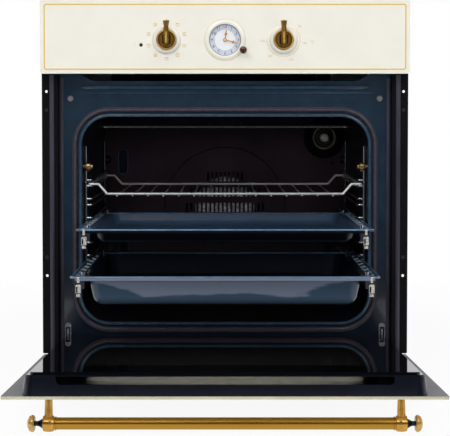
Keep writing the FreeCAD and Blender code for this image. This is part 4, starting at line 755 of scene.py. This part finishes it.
PILOT_MARK_START = -8.5
PILOT_MARK_END = -6
PILOT_MARK_WIDTH = 0.5
for rise in (-1.8, 0, 1.8):
    stroke = shifted([(PILOT_MARK_START, rise), (PILOT_MARK_END, rise)], pilot_low.x, PILOT_Z)
    add_stroke(marks, *stroke, PILOT_MARK_WIDTH)
piece("panel_marks", marks, "oven", faint_gold)

# Knobs: a turned rim and a raised strip along each lever in lighter brass as painted highlight, and dark
# marks round each disc and beside each lever as painted shade
KNOB_RIM = [(0, 14), (0, 11.6), (-0.8, 11), (-1.8, 11.4), (-2.2, 14)]
KNOB_RIM_INSET = 0.4
KNOB_STRIP = [(-1.5, -5.5), (1.5, -5.5), (1.5, 12), (-1.5, 12)]
KNOB_STRIP_RISE = 0.7
KNOB_STRIP_FOOT = 0.4
KNOB_FACE = 13
KNOB_SHADE_RING = [(0, -0.7), (-1.6, -0.3), (-1.6, 0.2), (0, 0.2)]
KNOB_SHADE_RING_INSET = 2.4
KNOB_FLANK = [(4.2, -8), (7.0, -6), (7.0, 7), (4.2, 10)]
KNOB_FLANK_RISE = 0.3
KNOB_FLANK_FOOT = 0.2
KNOB_EDGE = 0.4
for name, sign in (("function", -1), ("temperature", 1)):
    knob_low, knob_high = box_mm(f"{name}_knob")
    knob_radius = (knob_high.x - knob_low.x) / 2
    middle = sign * KNOB_X
    trim = bmesh.new()
    add_sweep(trim, circle_outline(middle, CONTROL_Z, knob_radius - KNOB_RIM_INSET, 64),
              lifted(KNOB_RIM, knob_low.y), front)
    add_slab(trim, shifted(KNOB_STRIP, middle, CONTROL_Z), knob_low.y - KNOB_STRIP_RISE,
             knob_low.y + KNOB_STRIP_FOOT, front)
    soften(piece(f"{name}_knob_highlight_trim", trim, f"{name}_knob", highlight_brass), KNOB_EDGE)
    shade_marks = bmesh.new()
    face_y = knob_low.y + KNOB_FACE
    add_sweep(shade_marks, circle_outline(middle, CONTROL_Z, knob_radius - KNOB_SHADE_RING_INSET, 64),
              lifted(KNOB_SHADE_RING, face_y), front)
    for flank in (-1, 1):
        shade = shifted([(flank * u, v) for u, v in KNOB_FLANK], middle, CONTROL_Z)
        add_slab(shade_marks, shade, face_y - KNOB_FLANK_RISE, face_y + KNOB_FLANK_FOOT, front)
    piece(f"{name}_knob_painted_shade", shade_marks, f"{name}_knob", knob_shade)

# Clock: gold line round the bezel, chapter ring with a dark rim of painted shade, numbers and ticks
BEZEL_LINE = 0.8
BEZEL_LINE_RISE = 0.4
BEZEL_LINE_FOOT = 0.2
DIAL_Y = FACE_Y + 5.0
DIAL_RADIUS = 25.3
INNER_RADIUS = 16.8
DIAL_RIM = [(0, -1.2), (-0.9, -0.9), (-0.9, -0.2), (0, -0.2)]
RING_HEIGHT = 0.3
HOUR_RADIUS = 21.2
HOUR_SIZE = 6.4
HOUR_THICKNESS = 0.3
MINUTE_REACH = 1.2
MINUTE_RISE = 0.42
MINUTE_FOOT = 0.2
bezel_radius = box_mm("clock_bezel")[1].x
bezel_line = bmesh.new()
add_sweep(bezel_line, circle_outline(0, CONTROL_Z, bezel_radius + BEZEL_LINE, 72),
          flat_band(BEZEL_LINE, FACE_Y - BEZEL_LINE_RISE, FACE_Y + BEZEL_LINE_FOOT), front)
piece("clock_bezel_line", bezel_line, "oven", pale_gold)
dial_path = circle_outline(0, CONTROL_Z, DIAL_RADIUS, 72)
chapter = bmesh.new()
add_sweep(chapter, dial_path, flat_band(DIAL_RADIUS - INNER_RADIUS, DIAL_Y - RING_HEIGHT, DIAL_Y), front)
piece("clock_chapter_ring", chapter, "oven", chapter_blue)
# Painted shade: a dark ring at the dial's edge under the bezel
dial_rim = bmesh.new()
add_sweep(dial_rim, dial_path, lifted(DIAL_RIM, DIAL_Y), front)
piece("clock_dial_rim", dial_rim, "oven", dial_rim_shade)
numbers = bmesh.new()
for hour in range(1, 13):
    add_words(numbers, str(hour), HOUR_SIZE, on_dial(0, HOUR_RADIUS, 30 * hour), DIAL_Y - RING_HEIGHT,
              HOUR_THICKNESS)
for minute in range(60):
    start, width = (0.0, 0.6) if minute % 5 == 0 else (0.3, 0.25)
    tick = line_corners(*on_dial(0, INNER_RADIUS + start, 6 * minute),
                        *on_dial(0, INNER_RADIUS + MINUTE_REACH, 6 * minute), width)
    add_slab(numbers, tick, DIAL_Y - MINUTE_RISE, DIAL_Y - MINUTE_FOOT, front)
piece("clock_numbers", numbers, "oven", dark_print)

# Front frame: pressed bead under the air outlet and a pressed step below it
BEAD_Z = DOOR_HEAD - 21.2
BEAD_POINTS = [(-239, 0), (-228, 3.6), (228, 3.6), (239, 0), (228, -3.6), (-228, -3.6)]
BEAD_LAYERS = [(0, 0.4), (0.4, -1.2), (1.4, -2.4), (2.6, -2.9)]
STEP_Z = DOOR_HEAD - 30.5
STEP_POINTS = [(-246, 1.4), (246, 1.4), (246, -1.4), (-246, -1.4)]
STEP_LAYERS = [(0, 0.3), (0.3, -0.4), (0.9, -0.6)]
bead = bmesh.new()
add_dome(bead, shifted(BEAD_POINTS, 0, BEAD_Z), lifted(BEAD_LAYERS, FRAME_Y), front)
add_dome(bead, shifted(STEP_POINTS, 0, STEP_Z), lifted(STEP_LAYERS, FRAME_Y), front)
piece("frame_pressings", bead, "oven", bead_blue)

# Cavity mouth: rolled lip, and the rubber seal with its bulb and sealing edge
LIP = [(-0.2, 3.5), (-0.2, 0.8), (0.6, -0.6), (2.2, -1.1), (4.0, -0.6), (5.2, 0.8), (5.2, 3.5)]
SEAL_FACE = [(0.0, 4.0), (0.9, 1.8), (2.2, 0.6), (3.6, 0.2), (5.0, 0.8), (6.0, 2.4), (6.6, 3.4), (7.4, 3.2),
             (8.0, 4.2)]
SEAL_OUT = 8
lip = bmesh.new()
add_sweep(lip, opening_path(0), lifted(LIP, box_mm("cavity")[0].y), front)
piece("cavity_rolled_lip", lip, "oven", lip_blue)
gasket_low, gasket_high = box_mm("door_gasket")
seal = bmesh.new()
add_sweep(seal, opening_path(SEAL_OUT),
          [(0.3, gasket_high.y), *lifted(SEAL_FACE, gasket_low.y), (7.8, gasket_high.y)], front)
seal_piece = piece("door_seal", seal, "oven", rubber, 60)
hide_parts("door_gasket")

# Trays: rolled rims, raised edges round the flange slots, and clips at the front of each runner, with dark
# slots and gaps of painted shade on the clips
RIM_RADIUS = 1.8
RIM_INSET = 1.6
RIM_CORNER = 7
RIM_DROP = 0.6
CLIP_X = 216
CLIP_NECK = [(-1.8, 0.4), (-1.8, -13), (1.8, -13), (1.8, 0.4)]
CLIP_BLOCK = [(-3.9, -12), (-3.9, -23.5), (3.9, -23.5), (3.9, -12), (2.8, -10.5), (-2.8, -10.5)]
CLIP_HOOK = [(-3.0, -25), (-3.0, -29), (3.0, -29), (3.0, -25)]
CLIP_SLOT = [(-3.2, -13.5), (-3.2, -22), (-0.8, -22), (-0.8, -13.5)]
CLIP_GAP = [(-3.0, -8), (-3.0, -10.2), (3.0, -10.2), (3.0, -8)]
FLANGE_SLOTS = 8
FLANGE_SLOT_X = 217.25
FLANGE_SLOT_HALF_WIDTH = 4.5
FLANGE_SLOT_HALF_LENGTH = 12.0
FLANGE_SLOT_RADIUS = 1.0
FLANGE_RIM = [(0.1, -0.2), (0.5, 0.8), (1.3, 0.8), (1.7, -0.2)]
CLIP_EDGE = 0.5
for level, body in (("lower", "lower_shelf"), ("upper", "upper_shelf")):
    tray_low, tray_high = box_mm(f"{level}_tray")
    height = tray_high.z
    rim = bmesh.new()
    rim_path = rounded_outline(tray_high.x - RIM_INSET, tray_low.y + RIM_INSET, tray_high.y - RIM_INSET,
                               RIM_CORNER)
    rim_circle = [point for point, out in circle_outline(0, 0, RIM_RADIUS, 10)]
    add_sweep(rim, rim_path, lifted(rim_circle, height - RIM_DROP), top)
    piece(f"{level}_tray_rim", rim, body, rim_blue, 60)
    clips = bmesh.new()
    slots = bmesh.new()
    flange_rims = bmesh.new()
    for sign in (-1, 1):
        middle = sign * CLIP_X
        for bm, shape, near, far in ((slots, CLIP_SLOT, -2.1, -1.6), (slots, CLIP_GAP, -2.0, -1.2),
                                     (clips, CLIP_NECK, -1.6, 0.6), (clips, CLIP_BLOCK, -1.8, 2.4),
                                     (clips, CLIP_HOOK, -0.6, 2.4)):
            add_slab(bm, shifted(shape, middle, height), tray_low.y + near, tray_low.y + far, front)
        for slot_number in range(1, FLANGE_SLOTS + 1):
            middle_y = tray_low.y + (tray_high.y - tray_low.y) * slot_number / (FLANGE_SLOTS + 1)
            loop = rounded_outline(FLANGE_SLOT_HALF_WIDTH, middle_y - FLANGE_SLOT_HALF_LENGTH,
                                   middle_y + FLANGE_SLOT_HALF_LENGTH, FLANGE_SLOT_RADIUS, 3,
                                   sign * FLANGE_SLOT_X)
            add_sweep(flange_rims, loop, lifted(FLANGE_RIM, height), top)
    soften(piece(f"{level}_runner_clips", clips, body, clip_steel), CLIP_EDGE)
    # Painted shade in the clips' slot and gap
    piece(f"{level}_clip_slots", slots, body, groove_shade_black)
    piece(f"{level}_flange_rims", flange_rims, body, lip_blue, 60)

# Handle: thin turned rings where the bar meets the ferrules
HANDLE_RING = [(-0.5, 0), (0.9, 0.4), (1.2, 1.2), (0.9, 2.0), (-0.5, 2.4)]
HANDLE_RING_INSET = 3.4
bar_low, bar_high = box_mm("handle_bar")
BAR_Y = (bar_low.y + bar_high.y) / 2
BAR_Z = (bar_low.z + bar_high.z) / 2
BAR_RADIUS = (bar_high.z - bar_low.z) / 2
ring_profile = [(BAR_RADIUS + out, along) for out, along in HANDLE_RING]
rings = bmesh.new()
for sign in (-1, 1):
    add_lathe(rings, ring_profile, (sign * (bar_high.x - HANDLE_RING_INSET), BAR_Y, BAR_Z), (sign, 0, 0), 40)
piece("handle_rings", rings, "door", brass, 50)

# Side trims: a rounded rib down each one, and a rounded fold along each edge of the frame, both in a lighter
# grey that paints a highlight
TRIM_RIB_X = 281.4
TRIM_RIB_HALF_WIDTH = 3.8
TRIM_RIB_RISE = 2.1
FRAME_RIB_X = 268.2
FRAME_RIB_HALF_WIDTH = 3.2
FRAME_RIB_RISE = 1.6
RIB_FOOT_GAP = 3
TRIM_RIB_HEAD_GAP = 2
FRAME_RIB_HEAD_GAP = 10
trim_low = box_mm("side_trims")[0]
ribs = bmesh.new()
for sign in (-1, 1):
    add_rib(ribs, sign * TRIM_RIB_X, TRIM_RIB_HALF_WIDTH, trim_low.y, TRIM_RIB_RISE,
            trim_low.z + RIB_FOOT_GAP, DOOR_HEAD - TRIM_RIB_HEAD_GAP)
    add_rib(ribs, sign * FRAME_RIB_X, FRAME_RIB_HALF_WIDTH, FRAME_Y, FRAME_RIB_RISE,
            frame_low.z + RIB_FOOT_GAP, frame_high.z - FRAME_RIB_HEAD_GAP)
piece("trim_ribs", ribs, "oven", rib_highlight_grey, 50)

# Window: a pale bead that lines the arched opening of the outer panel
DOOR_TOP = DOOR_HEAD - 4
WINDOW_HALF = 198.0
WINDOW_HIGH = DOOR_TOP - 89
WINDOW_LOW = WINDOW_HIGH - 261
WINDOW_ARCH = 560.0
WINDOW_CORNER = 22.0
WINDOW_BEAD = [(0, 0.2), (-2.2, 0.8), (-2.2, 3.8), (0, 3.8)]
ARCH_HALF_STEPS = 12
CORNER_STEPS = 8
arch_reach = math.asin(WINDOW_HALF / WINDOW_ARCH)
window_outline = []
for step in range(2 * ARCH_HALF_STEPS + 1):
    angle = arch_reach * (1 - step / ARCH_HALF_STEPS)
    out = (math.sin(angle), math.cos(angle))
    place = (WINDOW_ARCH * out[0], WINDOW_HIGH - WINDOW_ARCH + WINDOW_ARCH * out[1])
    window_outline.append((place, out))
for side, start in ((-1, 180), (1, 270)):
    for step in range(CORNER_STEPS + 1):
        angle = math.radians(start + 90 * step / CORNER_STEPS)
        window_outline.append(arc_point(side * (WINDOW_HALF - WINDOW_CORNER), WINDOW_LOW + WINDOW_CORNER,
                                        WINDOW_CORNER, angle))
window_bead = bmesh.new()
add_sweep(window_bead, window_outline, lifted(WINDOW_BEAD, FACE_Y), on_door)
piece("window_bead", window_bead, "door", pale_gold)

# Casing: pressed panels on the sheets that a niche hides
SHEET_X = box_mm("casing_sides")[1].x
BACK_Y = box_mm("casing_back")[1].y
TOP_Z = box_mm("casing_top")[1].z
PRESS_RADIUS = 24
PRESS_STEPS = 8
SIDE_PRESS_HALF = 150
SIDE_PRESS_MIDDLE = 20
SIDE_PRESS_HEIGHTS = ((90, 250), (300, 460))
TOP_PRESS_HALF = 190
TOP_PRESS_FRONT = -150
TOP_PRESS_BACK = 200
BACK_PRESS_HALF = 210
BACK_PRESS_LOW = 210
BACK_PRESS_HIGH = 420
GLAND_X = -190
GLAND_Z = 500
GLAND_HALF_WIDTH = 42
GLAND_HALF_HEIGHT = 34
GLAND_RADIUS = 14
pressings = bmesh.new()
for sign in (-1, 1):
    for low_z, high_z in SIDE_PRESS_HEIGHTS:
        side_press = rounded_outline(SIDE_PRESS_HALF, low_z, high_z, PRESS_RADIUS, PRESS_STEPS,
                                     SIDE_PRESS_MIDDLE)
        add_sweep(pressings, side_press, pressed_bead(SHEET_X), side_place(sign))
top_press = rounded_outline(TOP_PRESS_HALF, TOP_PRESS_FRONT, TOP_PRESS_BACK, PRESS_RADIUS, PRESS_STEPS)
add_sweep(pressings, top_press, pressed_bead(TOP_Z), top)
back_press = rounded_outline(BACK_PRESS_HALF, BACK_PRESS_LOW, BACK_PRESS_HIGH, PRESS_RADIUS, PRESS_STEPS)
add_sweep(pressings, back_press, pressed_bead(BACK_Y), front)
gland_press = rounded_outline(GLAND_HALF_WIDTH, GLAND_Z - GLAND_HALF_HEIGHT, GLAND_Z + GLAND_HALF_HEIGHT,
                              GLAND_RADIUS, PRESS_STEPS, GLAND_X)
add_sweep(pressings, gland_press, pressed_bead(BACK_Y), front)
piece("casing_pressings", pressings, "oven", galvanised, 50)

# Casing: screws along the edges of back, sides and top
SCREW = [(3.6, -0.3), (3.6, 0.6), (2.8, 1.5), (1.4, 2.0), (0.2, 2.1)]
SCREW_STEPS = 16
BACK_SCREW_INSET = 12
TOP_SCREW_INSET = 14
BACK_SCREW_HEIGHTS = (20, 150, 290, 430, 555)
SIDE_SCREW_HEIGHTS = (560, 14)
SIDE_SCREW_PLACES = (-200, -60, 80, 220)
TOP_SCREW_PLACES = (-220, -75, 75, 220)
screws = bmesh.new()
for sign in (-1, 1):
    for up in BACK_SCREW_HEIGHTS:
        add_lathe(screws, SCREW, (sign * (SHEET_X - BACK_SCREW_INSET), BACK_Y, up), (0, 1, 0), SCREW_STEPS)
    for along in SIDE_SCREW_PLACES:
        for up in SIDE_SCREW_HEIGHTS:
            add_lathe(screws, SCREW, (sign * SHEET_X, along, up), (sign, 0, 0), SCREW_STEPS)
for across in TOP_SCREW_PLACES:
    add_lathe(screws, SCREW, (across, BACK_Y - TOP_SCREW_INSET, TOP_Z), (0, 0, 1), SCREW_STEPS)
piece("casing_screws", screws, "oven", runner_steel, 50)

# Back wall: a near-black pressed line round the fan cover and a near-black rim round the lamp as painted
# shade, lighter blue rims round the air outlets as painted highlight, and a ring round the lamp's lens
BAFFLE_Y = box_mm("fan_baffle")[0].y
DISC_Z = 230.5
DISC_LINE_RADIUS = 117.9
DISC_LINE = [(0, 1.8), (-0.3, -0.3), (-1.6, -0.3), (-1.9, 1.8)]
OUTLET_X = 198
OUTLET_RISE = 88.5
OUTLET_HALF_WIDTH = 8
OUTLET_HALF_HEIGHT = 23
OUTLET_RADIUS = 7.8
OUTLET_RIM = [(0, 1.8), (0.2, -0.4), (1.0, -0.7), (1.8, -0.4), (2.2, 1.8)]
LAMP_RIM_RADIUS = 40
LAMP_RIM = [(0, 1.6), (-2, 0.4), (-16, -0.6), (-17.2, 1.6)]
LENS_RING = [(0, 1.0), (-0.3, -1.2), (-1.2, -1.8), (-2.2, -1.2), (-2.4, 1.0)]
LENS_RING_OUT = 0.2
disc_line = bmesh.new()
add_sweep(disc_line, circle_outline(0, DISC_Z, DISC_LINE_RADIUS, 96), lifted(DISC_LINE, BAFFLE_Y), front)
piece("baffle_disc_line", disc_line, "oven", groove_shade_black, 50)
# Painted highlight: lighter blue rims round the air outlets
outlet_rims = bmesh.new()
for side, rise in ((-1, 1), (-1, -1), (1, -1)):
    outlet_z = DISC_Z + rise * OUTLET_RISE
    outlet = rounded_outline(OUTLET_HALF_WIDTH, outlet_z - OUTLET_HALF_HEIGHT, outlet_z + OUTLET_HALF_HEIGHT,
                             OUTLET_RADIUS, 10, side * OUTLET_X)
    add_sweep(outlet_rims, outlet, lifted(OUTLET_RIM, BAFFLE_Y), front)
piece("outlet_rims", outlet_rims, "oven", lip_blue, 50)
lens_low, lens_high = box_mm("lamp_lens")
lamp_x = (lens_low.x + lens_high.x) / 2
lamp_z = (lens_low.z + lens_high.z) / 2
lens_radius = (lens_high.x - lens_low.x) / 2
lamp_rim = bmesh.new()
add_sweep(lamp_rim, circle_outline(lamp_x, lamp_z, LAMP_RIM_RADIUS, 64), lifted(LAMP_RIM, BAFFLE_Y), front)
piece("lamp_rim", lamp_rim, "oven", groove_shade_black, 50)
lens_ring = bmesh.new()
lens_path = circle_outline(lamp_x, lamp_z, lens_radius + LENS_RING_OUT, 64)
add_sweep(lens_ring, lens_path, lifted(LENS_RING, BAFFLE_Y), front)
piece("lamp_lens_ring", lens_ring, "oven", lens_steel, 50)

# Oven lamp: bulb behind the lens
BULB = [(0.3, -2), (4, -1.2), (7, 1.5), (8.2, 6), (7, 11), (4.5, 15), (4, 22)]
bulb = bmesh.new()
add_lathe(bulb, BULB, (lamp_x, lens_high.y - 1, lamp_z), (0, 1, 0))
piece("lamp_bulb", bulb, "oven", bulb_grey, 50)

# Studio: pale floor that fades to white away from the object, in metres
FLOOR_DROP = 0.002
FLOOR_REACH = 40
FLOOR_FRONT = -1.2
FADE_START = 0.5
FADE_END = 1.3
FADE_LEAST = 0.92
floor_z = cad_low.z - FLOOR_DROP
floor_corners = [(-FLOOR_REACH, FLOOR_FRONT, floor_z), (FLOOR_REACH, FLOOR_FRONT, floor_z),
                 (FLOOR_REACH, FLOOR_REACH, floor_z), (-FLOOR_REACH, FLOOR_REACH, floor_z)]
floor_mesh = bpy.data.meshes.new("floor")
floor_mesh.from_pydata(floor_corners, [], [(0, 1, 2, 3)])
floor = bpy.data.objects.new("floor", floor_mesh)
scene.collection.objects.link(floor)

ground = Finish("pale_floor", Roughness=0.9)
ground.color(ground.ramp(ground.noise(3), rgb(246, 246, 246), rgb(250, 250, 250)))
distance = ground.nodes.new("ShaderNodeVectorMath")
distance.operation = "LENGTH"
ground.links.new(ground.coords.outputs["Object"], distance.inputs[0])
fade = ground.span(distance.outputs["Value"], FADE_START, FADE_END, FADE_LEAST, 1.0)
glow = ground.nodes.new("ShaderNodeEmission")
blend = ground.nodes.new("ShaderNodeMixShader")
ground.links.new(ground.math("MULTIPLY", ground.seen_ray(), fade), blend.inputs["Fac"])
ground.links.new(ground.shader.outputs["BSDF"], blend.inputs[1])
ground.links.new(glow.outputs["Emission"], blend.inputs[2])
floor_output = ground.nodes["Material Output"]
ground.links.new(blend.outputs["Shader"], floor_output.inputs["Surface"])
floor_mesh.materials.append(ground.material)

# Studio: white surroundings that mirrors see as dark in front and white behind
WHITE = (1.0, 1.0, 1.0, 1.0)
FRONT_DARK = (0.03, 0.035, 0.045, 1.0)
SKY_LIGHT = 0.35
world = bpy.data.worlds.new("studio")
scene.world = world
world.use_nodes = True
sky = NodeKit(world.node_tree)
background = sky.nodes["Background"]
backwards = sky.span(sky.axis("Y", "Generated"), -1.0, 1.0)
mirrored_sky = sky.ramp(backwards, FRONT_DARK, WHITE, 0.2, 0.56)
sky.links.new(sky.mix(sky.ray("Is Camera Ray"), mirrored_sky, WHITE), background.inputs["Color"])
sky.links.new(sky.span(sky.seen_ray(), 0.0, 1.0, SKY_LIGHT, 1.0), background.inputs["Strength"])


def softbox(name, place, aim, width, height, watts, mirrored=True):
    """Rectangular lamp that points at a place; one that is not mirrored leaves no highlight."""
    lamp = bpy.data.lights.new(name, "AREA")
    lamp.shape = "RECTANGLE"
    lamp.size = width
    lamp.size_y = height
    lamp.energy = watts
    holder = bpy.data.objects.new(name, lamp)
    holder.location = place
    holder.rotation_mode = "QUATERNION"
    holder.rotation_quaternion = (Vector(aim) - Vector(place)).to_track_quat("-Z", "Y")
    holder.visible_glossy = mirrored
    scene.collection.objects.link(holder)


AIM = (0, -0.2, 0.3)
softbox("key_softbox", (-1.1, -2.4, 2.2), AIM, 1.8, 1.2, 28)
softbox("fill_softbox", (1.3, -2.4, 1.9), AIM, 1.6, 1.2, 21)
softbox("top_softbox", (0, -0.6, 2.6), (0, -0.2, 0.2), 2.4, 1.6, 18)
softbox("low_softbox", (0, -3.0, 0.62), (0, 0, 0.3), 1.8, 0.5, 28, mirrored=False)

# Camera at the photograph's place, straight in front and a little above the middle
CAMERA_PLACE = (0, -2.5645, 0.4114)
CAMERA_PITCH = math.radians(90 - 2.2)
camera = bpy.data.cameras.new("camera")
camera.sensor_width = 36
camera.lens = 112.7
camera.shift_y = -0.110
camera.dof.use_dof = False
eye = bpy.data.objects.new("camera", camera)
eye.location = CAMERA_PLACE
eye.rotation_euler = (CAMERA_PITCH, 0, 0)
scene.collection.objects.link(eye)
scene.camera = eye
